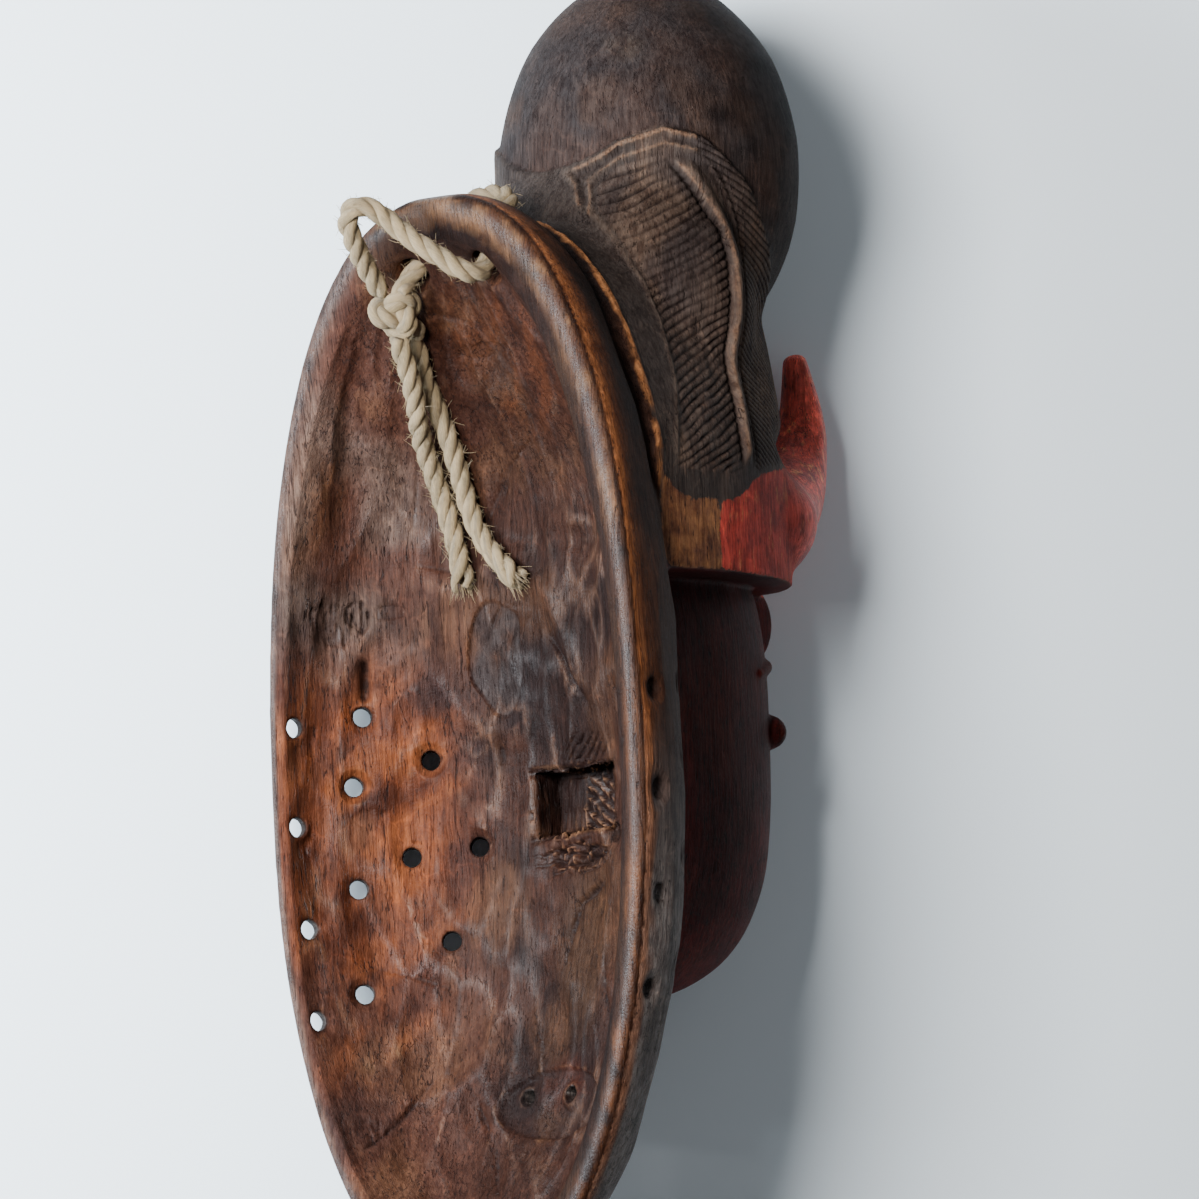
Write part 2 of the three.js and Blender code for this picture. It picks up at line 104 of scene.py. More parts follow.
# Relief of the coiffure and the flank
RIDGE_HEIGHT, RIDGE_LINE_DEPTH, TOP_BAND_HEIGHT, BAND_LINE_HEIGHT = 1.9, 0.9, 0.75, 0.4
HATCH_PITCH, HATCH_SLANT, HATCH_DEPTH = 2.8, 0.45, 0.8
FEATHER_PITCH, FEATHER_SLANT, FEATHER_DEPTH = 2.1, 0.55, 0.6
LIP_Z, LIP_WIDTH, LIP_HEIGHT = 30.4, 1.7, 1.3
LIP_GROOVE_Z, LIP_GROOVE_WIDTH, LIP_GROOVE_DEPTH = 26, 2.6, 1.6
NOTCH_Y, NOTCH_WIDTH, NOTCH_DEPTH = 92, 5, 3
PAINT_BACK_Z = 60

# How it lies, and how finely the wood is rebuilt
REST_TURN, REST_TIP = math.radians(27), math.radians(2.1)
VOXEL = 0.85
MOST_TRIANGLES = 190000

# The photograph's view of the mask: turned from its back, leaned and rolled, 0.3 mm a pixel
VIEW_TURN, VIEW_LEAN, VIEW_ROLL = math.radians(43), math.radians(-5), math.radians(2.2)
PHOTO_SIZE, MM_PER_PIXEL = 1199, 0.3
ORIGIN_PIXEL = (452, 747)
VIEW_DISTANCE = 6000


def rest_axes():
    """Rows are the frame's X, Y and Z in the mask's own axes."""
    turn, tip = math.cos(REST_TIP), math.sin(REST_TIP)
    up = -np.array([math.cos(REST_TURN) * turn, -tip, math.sin(REST_TURN) * turn])
    along = np.array([0, 1, 0]) - up[1] * up
    along /= np.linalg.norm(along)
    return np.array([np.cross(along, up), along, up])


def own_shift(axes):
    """Where the mask's own origin lies: on the rim, in the middle of the shell, below the bun's top."""
    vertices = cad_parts["mask"].data.vertices
    flat = np.empty(len(vertices) * 3)
    vertices.foreach_get("co", flat)
    own = flat.reshape(-1, 3) @ axes / MM
    low, high = own.min(0), own.max(0)
    return np.array([(low[0] + high[0]) / 2, high[1] - BUN_CENTRE[1] - BUN_RADII[1], low[2]])


AXES = rest_axes()
SHIFT = own_shift(AXES)


def to_frame(points):
    return (np.asarray(points, float) + SHIFT) @ AXES.T * MM


def direction_to_frame(direction):
    return Vector(AXES @ np.asarray(direction, float))


# Camera, first
def add_camera():
    st, ct, sl, cl = math.sin(VIEW_TURN), math.cos(VIEW_TURN), math.sin(VIEW_LEAN), math.cos(VIEW_LEAN)
    back = np.array([-st * cl, sl, -ct * cl])
    level = np.array([-ct, 0, st])
    rise = np.cross(back, level)
    right = math.cos(VIEW_ROLL) * level - math.sin(VIEW_ROLL) * rise
    up = math.sin(VIEW_ROLL) * level + math.cos(VIEW_ROLL) * rise
    middle = PHOTO_SIZE / 2
    aim = ((middle - ORIGIN_PIXEL[0]) * right - (middle - ORIGIN_PIXEL[1]) * up) * MM_PER_PIXEL
    aim = aim - 30 * back
    data = bpy.data.cameras.new("camera")
    data.sensor_width = 36
    data.lens = 36 * VIEW_DISTANCE / (PHOTO_SIZE * MM_PER_PIXEL)
    data.clip_end = 100
    camera = bpy.data.objects.new("camera", data)
    bpy.context.scene.collection.objects.link(camera)
    columns = [direction_to_frame(v) for v in (right, up, back)]
    turn = Matrix(columns).transposed().to_4x4()
    camera.matrix_world = Matrix.Translation(to_frame(aim + VIEW_DISTANCE * back)) @ turn
    bpy.context.scene.camera = camera
    return right, up, back


VIEW_RIGHT, VIEW_UP, VIEW_BACK = add_camera()


# Numbers and noise
def smoothstep(low, high, value):
    share = np.clip((value - low) / (high - low), 0, 1)
    return share * share * (3 - 2 * share)


def noise(points, size, seed=0):
    """Smooth noise from -1 to 1, with blobs about size across."""
    cell = np.asarray(points, float) / size
    base = np.floor(cell)
    share = cell - base
    share = share * share * (3 - 2 * share)
    factors = np.array([127.1, 311.7, 74.7])[: cell.shape[1]]
    total = np.zeros(len(cell))
    for corner in itertools.product((0, 1), repeat=cell.shape[1]):
        value = np.sin((base + corner) @ factors + seed * 17.31) * 43758.5453
        weight = np.prod(np.where(np.array(corner) == 1, share, 1 - share), axis=1)
        total += weight * (value - np.floor(value))
    return 2 * total - 1


def rounded(share, fullness):
    return np.maximum(0, 1 - np.abs(share) ** fullness) ** (1 / fullness)


def end_share(y, top, bottom, middle):
    return np.where(y > middle, (y - middle) / (top - middle), (middle - y) / (middle - bottom))


def shell_half_width(y):
    share = end_share(y, SHELL_TOP, SHELL_BOTTOM, SHELL_WIDEST_Y)
    top, bottom = rounded(share, SHELL_TOP_FULLNESS), rounded(share, SHELL_BOTTOM_FULLNESS)
    return SHELL_HALF_WIDTH * np.where(y > SHELL_WIDEST_Y, top, bottom)


def shell_depth(y):
    share = end_share(y, SHELL_TOP, SHELL_BOTTOM, SHELL_WIDEST_Y)
    return SHELL_DEPTH * np.where(y > SHELL_WIDEST_Y, rounded(share, 2.8), rounded(share, 2))


def cavity_half_width(y):
    share = end_share(y, CAVITY_TOP, CAVITY_BOTTOM, SHELL_WIDEST_Y)
    top, bottom = rounded(share, CAVITY_TOP_FULLNESS), rounded(share, SHELL_BOTTOM_FULLNESS)
    return CAVITY_HALF_WIDTH * np.where(y > SHELL_WIDEST_Y, top, bottom)


def cavity_depth(y):
    share = end_share(y, CAVITY_TOP, CAVITY_BOTTOM, SHELL_WIDEST_Y)
    brow = np.exp(-(((y - BROW_HOLLOW_Y) / BROW_HOLLOW_SPREAD) ** 2))
    bowl = np.where(y > SHELL_WIDEST_Y, rounded(share, CAVITY_TOP_SLOPE), rounded(share, 2.1))
    return CAVITY_DEPTH * bowl + BROW_HOLLOW_DEPTH * brow * rounded(share, 4)


def hair_half_width(y):
    flank = shell_half_width(y) * rounded(HAIR_BASE_Z / shell_depth(y), SHELL_FLANK_FULLNESS)
    return np.minimum(HAIR_HALF_WIDTH, flank)


def face_half_width(y):
    return FACE_HALF_WIDTH * rounded((y - 5) / (5 - FACE_BOTTOM), 3)


def face_depth(y):
    return FACE_DEPTH * rounded((y - 5) / (5 - FACE_BOTTOM), 3)


def on_face(x, y):
    share = abs(x) / face_half_width(y)
    return np.array([x, y, FACE_BASE_Z + face_depth(y) * rounded(share, FACE_FULLNESS)])


def between(first, second, u, start, end):
    return (end - u) / (end - start) * first + (u - start) / (end - start) * second


def directions(path):
    slopes = np.gradient(path, axis=0)
    return slopes / np.linalg.norm(slopes, axis=1)[:, None]


def lengths_along(path):
    return np.concatenate([[0], np.cumsum(np.linalg.norm(np.diff(path, axis=0), axis=1))])


def spline(points, step):
    """Smooth curve through points, sampled about every step."""
    p = np.asarray(points, float)
    p = np.vstack([2 * p[0] - p[1], p, 2 * p[-1] - p[-2]])
    out = []
    for i in range(1, len(p) - 2):
        gaps = np.sqrt(np.linalg.norm(np.diff(p[i - 1 : i + 3], axis=0), axis=1))
        t = np.concatenate([[0], np.cumsum(gaps)])
        count = max(2, int(round(np.linalg.norm(p[i + 1] - p[i]) / step)))
        u = np.linspace(t[1], t[2], count, endpoint=False)[:, None]
        level = list(p[i - 1 : i + 3])
        for reach in (1, 2):
            pairs = [(level[k], level[k + 1], t[k], t[k + reach]) for k in range(4 - reach)]
            level = [between(first, second, u, start, end) for first, second, start, end in pairs]
        out.append(between(level[0], level[1], u, t[1], t[2]))
    out.append(p[-2][None])
    return np.vstack(out)


# Meshes
def skin(rings):
    """Closed surface through rings of points, with a fan over each end."""
    rings = np.asarray(rings, float)
    count, around = rings.shape[:2]
    points = np.vstack([rings.reshape(-1, 3), rings[0].mean(0), rings[-1].mean(0)])
    faces = []
    for i in range(count - 1):
        for j in range(around):
            beside = (j + 1) % around
            below, above = i * around, (i + 1) * around
            faces.append((below + j, above + j, above + beside, below + beside))
    last = (count - 1) * around
    for j in range(around):
        beside = (j + 1) % around
        faces.append((count * around, j, beside))
        faces.append((count * around + 1, last + beside, last + j))
    return outward(points, faces)


def outward(points, faces):
    """The same faces, turned over if they face inwards."""
    volume = 0.0
    for face in faces:
        for k in range(1, len(face) - 1):
            volume += np.dot(points[face[0]], np.cross(points[face[k]], points[face[k + 1]]))
    return points, [f[::-1] for f in faces] if volume < 0 else faces


def add_mesh(name, points, faces):
    mesh = bpy.data.meshes.new(name)
    mesh.from_pydata(np.asarray(points).tolist(), [], faces)
    mesh.update()
    piece = bpy.data.objects.new(name, mesh)
    bpy.context.scene.collection.objects.link(piece)
    return piece


def joined(forms):
    """Several separate closed forms as one set of points and faces."""
    points, faces, start = [], [], 0
    for some_points, some_faces in forms:
        points.append(some_points)
        faces.extend(tuple(start + i for i in face) for face in some_faces)
        start += len(some_points)
    return np.vstack(points), faces


def apply_modifiers(piece):
    mesh = bpy.data.meshes.new_from_object(piece.evaluated_get(bpy.context.evaluated_depsgraph_get()))
    piece.modifiers.clear()
    old = piece.data
    piece.data = mesh
    bpy.data.meshes.remove(old)


def combine(base, form, operation):
    other = add_mesh("cutter", *form)
    modifier = base.modifiers.new("combine", "BOOLEAN")
    modifier.operation, modifier.solver, modifier.object = operation, "MANIFOLD", other
    apply_modifiers(base)
    bpy.data.objects.remove(other)


def read(piece):
    """Points and normals of a piece."""
    count = len(piece.data.vertices)
    points, normals = np.empty(count * 3), np.empty(count * 3)
    piece.data.vertices.foreach_get("co", points)
    piece.data.vertex_normals.foreach_get("vector", normals)
    return points.reshape(-1, 3), normals.reshape(-1, 3)


def write(piece, points):
    piece.data.vertices.foreach_set("co", np.asarray(points, float).ravel())
    piece.data.update()


def levels(low, high, count):
    middle, half = (low + high) / 2, (high - low) / 2 * 0.996
    return middle - half * np.cos(np.pi * np.arange(count + 1) / count)


def front_arc(half_width, depth, fullness, steps):
    angle = np.pi * np.arange(steps + 1) / steps
    across = np.abs(np.cos(angle)) ** (2 / fullness) * np.sign(np.cos(angle))
    out = np.abs(np.sin(angle)) ** (2 / fullness)
    return [(half_width * a, depth * o) for a, o in zip(across, out)]


def loft(ys, section):
    return skin([[(x, y, z) for x, z in section(float(y))] for y in ys])


def shell():
    def section(y):
        half, depth = float(shell_half_width(y)), float(shell_depth(y))
        bevel = min(RIM_BEVEL, depth / 12)
        flank = front_arc(half, depth, SHELL_FLANK_FULLNESS, 60)[1:-1]
        return [(half - bevel, 0), (half, bevel), *flank, (-half, bevel), (bevel - half, 0)]

    return loft(levels(SHELL_BOTTOM, SHELL_TOP, 90), section)


def cavity():
    def section(y):
        half, depth = float(cavity_half_width(y)), float(cavity_depth(y))
        arc = [(half, -4), *front_arc(half, depth, 2, 60), (-half, -4)]
        return [(x + CAVITY_SHIFT_X, z) for x, z in arc]

    return loft(levels(CAVITY_BOTTOM, CAVITY_TOP, 90), section)


def hair():
    def section(y):
        arc = front_arc(float(hair_half_width(y)), HAIR_DEPTH, 2, 70)
        return [(x, z + HAIR_BASE_Z) for x, z in arc]

    return loft(levels(HAIR_LOW, HAIR_TOP, 40), section)


def ellipsoid(centre, radii, rows=24, turn=None):
    rings = []
    for i in range(1, rows):
        polar = np.pi * i / rows
        turn_by = np.linspace(0, 2 * np.pi, 2 * rows, endpoint=False)
        level = np.full_like(turn_by, np.cos(polar))
        ring = [np.sin(polar) * np.cos(turn_by), level, np.sin(polar) * np.sin(turn_by)]
        rings.append(np.stack(ring, 1) * radii)
    points, faces = skin(rings)
    points[-2], points[-1] = (0, radii[1], 0), (0, -radii[1], 0)
    if turn is not None:
        points = points @ np.array(turn.to_matrix()).T
    return points + centre, faces


def frames_along(path):
    """A pair of directions across a path at each point, without twist."""
    tangents = directions(path)
    start = np.cross(tangents[0], (0.3, 0.1, 0.9))
    sides = [start / np.linalg.norm(start)]
    for tangent in tangents[1:]:
        side = sides[-1] - tangent * np.dot(sides[-1], tangent)
        sides.append(side / np.linalg.norm(side))
    sides = np.array(sides)
    return sides, np.cross(tangents, sides)


def tube(path, radii, sides=10):
    path = np.asarray(path, float)
    radii = np.broadcast_to(radii, len(path))
    first, second = frames_along(path)
    turn = np.linspace(0, 2 * np.pi, sides, endpoint=False)
    rings = [
        point + radius * (np.cos(turn)[:, None] * a + np.sin(turn)[:, None] * b)
        for point, radius, a, b in zip(path, radii, first, second)
    ]
    return skin(rings)


def collar():
    width = BUN_RADII[0] + COLLAR_THICKNESS + 1
    rings = [[(x, y, z) for z, y in COLLAR_SIDE_VIEW] for x in (-width, width)]
    return skin(rings)


def horn():
    """The horn's section has a ridge down each side, and its tip is rounded."""
    path = spline(HORN_PATH, 2)
    y, z, radius = path[-1][:3]
    rounding = np.sin(np.linspace(0, np.pi / 2, 6))[1:-1]
    end = [(y + 3 * t, z - 0.4 * t, *[radius * math.sqrt(1 - t * t)] * 2) for t in rounding]
    path = np.vstack([path, end])
    turn = np.linspace(0, 2 * np.pi, 48, endpoint=False)
    ridged = np.abs(np.cos(turn)) ** HORN_EDGE + np.abs(np.sin(turn)) ** HORN_EDGE
    ridged = ridged ** (-1 / HORN_EDGE)
    rings = []
    for (y, z, radius, half_width), (rise, out) in zip(path, directions(path[:, :2])):
        across, forward = half_width * ridged * np.cos(turn), radius * ridged * np.sin(turn)
        rings.append(np.stack([across, y - forward * out, z + forward * rise], 1))
    return skin(rings)


def face_block():
    def section(y):
        arc = front_arc(float(face_half_width(y)), float(face_depth(y)), FACE_FULLNESS, 60)
        return [(x, z + FACE_BASE_Z) for x, z in arc]

    return loft(levels(FACE_BOTTOM, FACE_TOP, 60), section)


def nose():
    rows = [
        (BROW_Y, 2.6, 1.5), (BROW_Y - 8, 2.9, 3.2), (BROW_Y - 16, 3.2, 5.2),
        (NOSE_TIP_Y + 16, 4.1, 8), (NOSE_TIP_Y + 8, 5.4, 10.7), (NOSE_TIP_Y + 2, 8, 12.4),
        (NOSE_TIP_Y - 1.5, 8.6, 11.2), (NOSE_TIP_Y - 4, 7, 5),
    ]
    turn = np.linspace(0, np.pi, 15)
    rings = []
    for y, half, height in rows:
        base = on_face(0, y)[2]
        bow = [(half * math.cos(t), height * math.sin(t) ** 0.8) for t in turn]
        rings.append([(x, y, base + z) for x, z in [(half, -8), *bow, (-half, -8)]])
    return skin(rings)


def mouth():
    upper = ellipsoid(on_face(0, MOUTH_Y + 2.3), (11, 2.7, 5))
    lower = ellipsoid(on_face(0, MOUTH_Y - 2.6), (9.5, 2.9, 5))
    return [upper, lower]


def eyebrow(side):
    share = np.linspace(0, 1, 15)
    heights = [BROW_Y + 7 * math.sin(math.pi * (0.15 + 0.7 * s)) for s in share]
    points = [on_face(side * (4 + 26 * s), y) for s, y in zip(share, heights)]
    return tube(points, 2.2 * np.sin(np.pi * (0.12 + 0.8 * share)) ** 0.5, 10)


def eyelid(side):
    turn = Matrix.Rotation(-side * 0.08, 3, "Z") @ Matrix.Rotation(side * 0.3, 3, "Y")
    return ellipsoid(on_face(side * 17, EYE_Y), (10, 5.5, 4.5), 20, turn.to_euler())


def eye_slit(side):
    share = np.linspace(-1, 1, 9)
    points = [on_face(side * (17.5 + 8 * s), EYE_Y - 1.2 - 1.2 * s * s) for s in share]
    return tube(np.array(points) + (0, 0, 4.6), 0.9, 8)


def forehead_leaf():
    return ellipsoid((0, 42, 126), (5, 15, 17))


def cheek_hole(side, column, row):
    """Start, direction, radius and length of one hole through a cheek."""
    y = column["rows"][row]
    around = math.radians(column["around"][row])
    slope = math.radians(column["left"] if side > 0 else column["right"])
    x = side * float(cavity_half_width(y)) * math.cos(around) + CAVITY_SHIFT_X
    direction = np.array([side * math.cos(slope), 0, math.sin(slope)])
    wall = np.array([x, y, float(cavity_depth(y)) * math.sin(around)])
    return wall - 6 * direction, direction, HOLE_RADIUS, 24


def all_holes():
    holes = [
        cheek_hole(side, column, row)
        for side in (-1, 1)
        for column in CHEEK_COLUMNS
        for row in range(len(column["rows"]))
    ]
    for side in (-1, 1):
        low = np.array([side * LOW_HOLE_X, LOW_HOLE_Y, 30])
        holes.append((low, np.array([0, 0, 1]), LOW_HOLE_RADIUS, 30))
        start, end = (np.array(p) * (side, 1, 1) for p in (CORD_HOLE_IN, CORD_HOLE_OUT))
        direction = (end - start) / np.linalg.norm(end - start)
        holes.append((start - 8 * direction, direction, CORD_HOLE_RADIUS, 44))
    return holes


def drill(start, direction, radius, length):
    return tube([start, start + length * direction], radius, 20)


def cord_mouth(side):
    return ellipsoid(np.array(CORD_HOLE_IN) * (side, 1, 1), (CORD_HOLE_MOUTH,) * 3, 14)


def box_form(low, high):
    (x0, y0, z0), (x1, y1, z1) = low, high
    rings = [[(x0, y0, z), (x1, y0, z), (x1, y1, z), (x0, y1, z)] for z in (z0, z1)]
    return skin(rings)


def raw_wood():
    """All forms of the block joined, then the hollow and the holes cut."""
    wood = add_mesh("mask_wood", *shell())
    bun = ellipsoid(BUN_CENTRE, BUN_RADII, 44)
    upswept = add_mesh("collar", *ellipsoid(BUN_CENTRE, BUN_RADII + COLLAR_THICKNESS, 44))
    combine(upswept, collar(), "INTERSECT")
    collar_form = read(upswept)[0], [tuple(p.vertices) for p in upswept.data.polygons]
    bpy.data.objects.remove(upswept)
    waist = ellipsoid(WAIST_CENTRE, WAIST_RADII, 30)
    root = ellipsoid(HORN_ROOT_CENTRE, HORN_ROOT_RADII, 30)
    raised = [hair(), waist, bun, collar_form, root, horn()]
    raised += [face_block(), nose(), *mouth(), forehead_leaf()]
    raised += [make(side) for side in (-1, 1) for make in (eyebrow, eyelid)]
    for form in raised:
        combine(wood, form, "UNION")
    cuts = [cavity(), box_form(POCKET_LOW, POCKET_HIGH), *[drill(*hole) for hole in all_holes()]]
    cuts += [form for side in (-1, 1) for form in (cord_mouth(side), eye_slit(side))]
    for form in cuts:
        combine(wood, form, "DIFFERENCE")
    return wood


def remesh(piece):
    modifier = piece.modifiers.new("remesh", "REMESH")
    modifier.mode, modifier.voxel_size = "VOXEL", VOXEL
    apply_modifiers(piece)


def thin_out(piece):
    triangles = sum(len(p.vertices) - 2 for p in piece.data.polygons)
    modifier = piece.modifiers.new("decimate", "DECIMATE")
    modifier.ratio = min(1, MOST_TRIANGLES / triangles)
    modifier.use_collapse_triangulate = True
    apply_modifiers(piece)


def outline(half_width, low, high, shift):
    """Points round an outline in the rim's plane."""
    y = np.concatenate([levels(low, high, 240), levels(low, high, 240)[::-1]])
    side = np.repeat([1, -1], 241)
    return np.stack([shift + side * half_width(y), y], 1)


def nearest(points, line):
    """Distance from each point to the nearest of the line's points."""
    out = np.empty(len(points))
    for start in range(0, len(points), 8000):
        part = points[start : start + 8000]
        out[start : start + 8000] = np.sqrt(((part[:, None] - line[None]) ** 2).sum(2).min(1))
    return out


def bump(value, width):
    return np.exp(-((value / width) ** 2))


def radii_away(points, centre, radii):
    """Distance from a centre, as a share of the radii."""
    return np.linalg.norm((points - np.array(centre, float)) / np.array(radii), axis=1)


def blob(points, centre, radii):
    """Soft spot: 1 in the middle, 0 outside its radii."""
    return 1 - smoothstep(0.35, 1, radii_away(points, centre, radii))


def blade_share(xy):
    """Distance from the middle of the long gouge cut, with a ragged edge at 1."""
    return radii_away(xy, *BLADE) + 0.12 * noise(xy, 9, 31)


def two_smallest(points, values):
    """Smallest and second smallest of several values at each point."""
    first, second = np.full(len(points), 9.0), np.full(len(points), 9.0)
    for here in values:
        second = np.minimum(second, np.maximum(first, here))
        first = np.minimum(first, here)
    return first, second


def facets(points, count, low, high, sizes, seed, lean=0.4):
    """Overlapping gouge cuts: height over the nearest bed, and nearness to an edge between two."""
    draw = np.random.default_rng(seed)
    centres = draw.uniform(low, high, (count, 2))
    turns = draw.normal(0, lean, count)
    scale = draw.uniform(0.75, 1.25, count)
    lift = draw.uniform(0, 0.35, count)

    def bed(centre, turn, grow, up):
        d = points - centre
        across = (d[:, 0] * math.cos(turn) + d[:, 1] * math.sin(turn)) / (sizes[0] * grow)
        along = (d[:, 1] * math.cos(turn) - d[:, 0] * math.sin(turn)) / (sizes[1] * grow)
        return across**2 + along**2 + up

    first, second = two_smallest(points, (bed(*cut) for cut in zip(centres, turns, scale, lift)))
    return np.minimum(first, 1.4), 1 - smoothstep(0, 0.22, second - first)


def rounded_facets(points, count, size, seed):
    """Height over the nearest cut's bed on the bun, with round cuts."""
    draw = np.random.default_rng(seed)
    turn, rise = draw.uniform(0, 2 * np.pi, count), draw.uniform(-1, 1, count)
    level = np.sqrt(1 - rise**2)
    centres = BUN_CENTRE + BUN_RADII * np.stack([level * np.cos(turn), rise, level * np.sin(turn)], 1)
    beds = [((points - centre) ** 2).sum(1) / size**2 for centre in centres]
    return np.minimum(np.min(beds, axis=0), 1.5)


def ridge_z(y):
    """Where the raised ridge runs down each side of the coiffure."""
    heights = [84, 95, 114, 126, 149, 156, 162, 169, 178]
    return np.interp(y, heights, [77.5, 78.4, 81, 82.6, 83.3, 82, 79.2, 75.2, 69])


def band_z(y):
    """Lower edge of the hatched panel, over the smooth band."""
    heights = [74, 87, 100, 107, 118, 128, 138, 144, 166, 180]
    return np.interp(y, heights, [37, 39.5, 44, 46.4, 48.6, 50.2, 50.5, 49, 46.5, 45])


def top_y(z):
    """Upper edge of the swept-up hair, on the bun."""
    return np.interp(z, [45, 51, 57, 66, 76, 90], [163, 176, 183, 187, 184, 170])


def hairline_y(z):
    """Lower edge of the hair, above the bare temples and the red paint."""
    depths = [24, 31, 35, 38, 45, 69, 77, 87, 110, 135]
    return np.interp(z, depths, [82, 79, 77, 73, 71.5, 72, 76, 81, 85, 88])


def groove(phase, width=0.42):
    """Sharp groove once in each turn of phase."""
    return 1 - smoothstep(0, width, np.abs((phase % 1) - 0.5) * 2)


class Carving:
    """Everything the surface needs to know about each of its points."""

    def __init__(self, p, n):
        self.p, self.n = p, n
        x, y, z = p.T
        inner_y = np.clip(y, CAVITY_BOTTOM + 1, CAVITY_TOP - 1)
        half, deep = cavity_half_width(inner_y), cavity_depth(inner_y)
        share = ((x - CAVITY_SHIFT_X) / half) ** 2 + (z / deep) ** 2
        facing = (CAVITY_SHIFT_X - x) * n[:, 0] + 0.5 * (SHELL_WIDEST_Y - y) * n[:, 1]
        facing = facing - (z + 5) * n[:, 2]
        box_low, box_high = np.array(POCKET_LOW) - 1, np.array(POCKET_HIGH) + 1
        self.pocket = np.all((p > box_low) & (p < box_high), axis=1) & (z > 46.5)
        self.inside = ((share < 1.2) & (facing > 0) & (z > 0.5)) | self.pocket
        self.rim = (z < 1.9) & ~self.inside
        self.bun = (np.linalg.norm((p - BUN_CENTRE) / BUN_RADII, axis=1) < 1.012) & ~self.inside
        outer_y = np.clip(y, SHELL_BOTTOM + 1, SHELL_TOP - 1)
        wide, high = np.abs(x) / shell_half_width(outer_y), np.maximum(z, 0) / shell_depth(outer_y)
        on_shell = (wide**SHELL_FLANK_FULLNESS + high**SHELL_FLANK_FULLNESS) < 1.07
        outer = ~self.inside & ~self.rim & ~self.bun
        beside_hair = (z < 30) & (y > HAIR_LOW)
        self.flank = outer & ((on_shell & ((z < 25.4) | (y < HAIR_LOW - 0.5))) | beside_hair)
        self.face = outer & ~self.flank & (y < HAIR_LOW + 0.6)
        self.coiffure = outer & ~self.flank & ~self.face
        self.crown = (self.coiffure | self.bun) & (y > 80)
        self.around = CAVITY_HALF_WIDTH * np.arctan2(z / deep, (x - CAVITY_SHIFT_X) / half)
        self.plan = np.stack([self.around, y], 1)
        below, above = ridge_z(y), band_z(y)
        panel = smoothstep(above, above + 2, z) * (1 - smoothstep(below - 3.4, below - 2.6, z))
        panel = panel * smoothstep(76, 84, y) * (1 - smoothstep(-9, -6.5, y - top_y(z)))
        self.sides = np.maximum(smoothstep(3, -7, x), smoothstep(38, 43, x))
        self.panel = panel * self.crown * self.sides
        front = smoothstep(below + 5, below + 7, z) * (z > 70) * self.coiffure
        self.front = front * smoothstep(hairline_y(z) + 0.5, hairline_y(z) + 4, y)

    def find_edges(self):
        """Distances to the rim's two edges, to the horn and to the nearest hole."""
        x, y, z = self.p.T
        low = z < 16
        self.to_cavity, self.to_edge = np.full(len(x), 99.0), np.full(len(x), 99.0)
        cavity_line = outline(cavity_half_width, CAVITY_BOTTOM, CAVITY_TOP, CAVITY_SHIFT_X)
        shell_line = outline(shell_half_width, SHELL_BOTTOM, SHELL_TOP, 0)
        self.to_cavity[low] = nearest(self.p[low, :2], cavity_line)
        self.to_edge[low] = nearest(self.p[low, :2], shell_line)
        self.across = self.to_cavity / np.maximum(self.to_cavity + self.to_edge, 0.1)
        self.from_horn = np.full(len(x), 99.0)
        for level, out, radius, half_width in spline(HORN_PATH, 2.5):
            here = np.sqrt((x * radius / half_width) ** 2 + (y - level) ** 2 + (z - out) ** 2)
            here = np.where(z > 110, here - 0.95 * radius, 99)
            self.from_horn = np.minimum(self.from_horn, here)
        self.horn = (1 - smoothstep(1, 6, self.from_horn)) * smoothstep(112, 146, z) * ~self.inside
        self.to_hole = np.full(len(x), 99.0)
        for start, direction, radius, length in all_holes():
            near = np.nonzero(np.abs(y - start[1]) < radius + 12)[0]
            off = self.p[near] - start
            along = off @ direction
            away = np.linalg.norm(off - along[:, None] * direction, axis=1) - radius
            away = np.where((along > -2) & (along < length + 2), away, 99)
            self.to_hole[near] = np.minimum(self.to_hole[near], away)

    def find_lines(self):
        """Hatching, grooves and raised lines of the coiffure."""
        y, z = self.p.T[1:]
        wobble = 0.8 * noise(self.p, 11, 5) + 0.3 * noise(self.p, 3.5, 6)
        below, above = ridge_z(y), band_z(y)
        depth = np.clip(0.7 + 0.5 * noise(self.p, 6, 7), 0.15, 1.1)
        turns = (y - HATCH_SLANT * z + wobble) / HATCH_PITCH
        self.hatch = groove(turns, 0.55) * self.panel * depth
        turns = (y + FEATHER_SLANT * z + 0.6 * wobble) / FEATHER_PITCH
        self.feather = groove(turns) * self.front * (1 - self.horn)
        off = (z - below) / np.sqrt(1 + ((ridge_z(y + 1) - ridge_z(y - 1)) / 2) ** 2)
        ends = self.crown * smoothstep(82, 88, y) * (1 - smoothstep(173, 178, y))
        self.ridge = smoothstep(-2.3, -1.3, off) * (1 - smoothstep(0.3, 3, off)) * ends
        lines = bump(off + 3.1, 0.6) + 0.6 * bump(off - 4.3, 0.5) + 0.6 * bump(off - 6.4, 0.5)
        self.beside = np.clip(lines * ends, 0, 1)
        from_top = y - top_y(z)
        top = self.crown & (z > 46) & (z < 74) & (y > 158)
        raised = bump(from_top + 1.2, 0.8) + bump(from_top + 5.2, 0.8)
        self.top_band = (raised - 0.9 * bump(from_top + 3.2, 0.8)) * top * self.sides
        beside_panel = self.coiffure * self.sides * (y < 164) * (y > 84)
        self.band_line = bump(z - above + 0.3, 0.8) * beside_panel

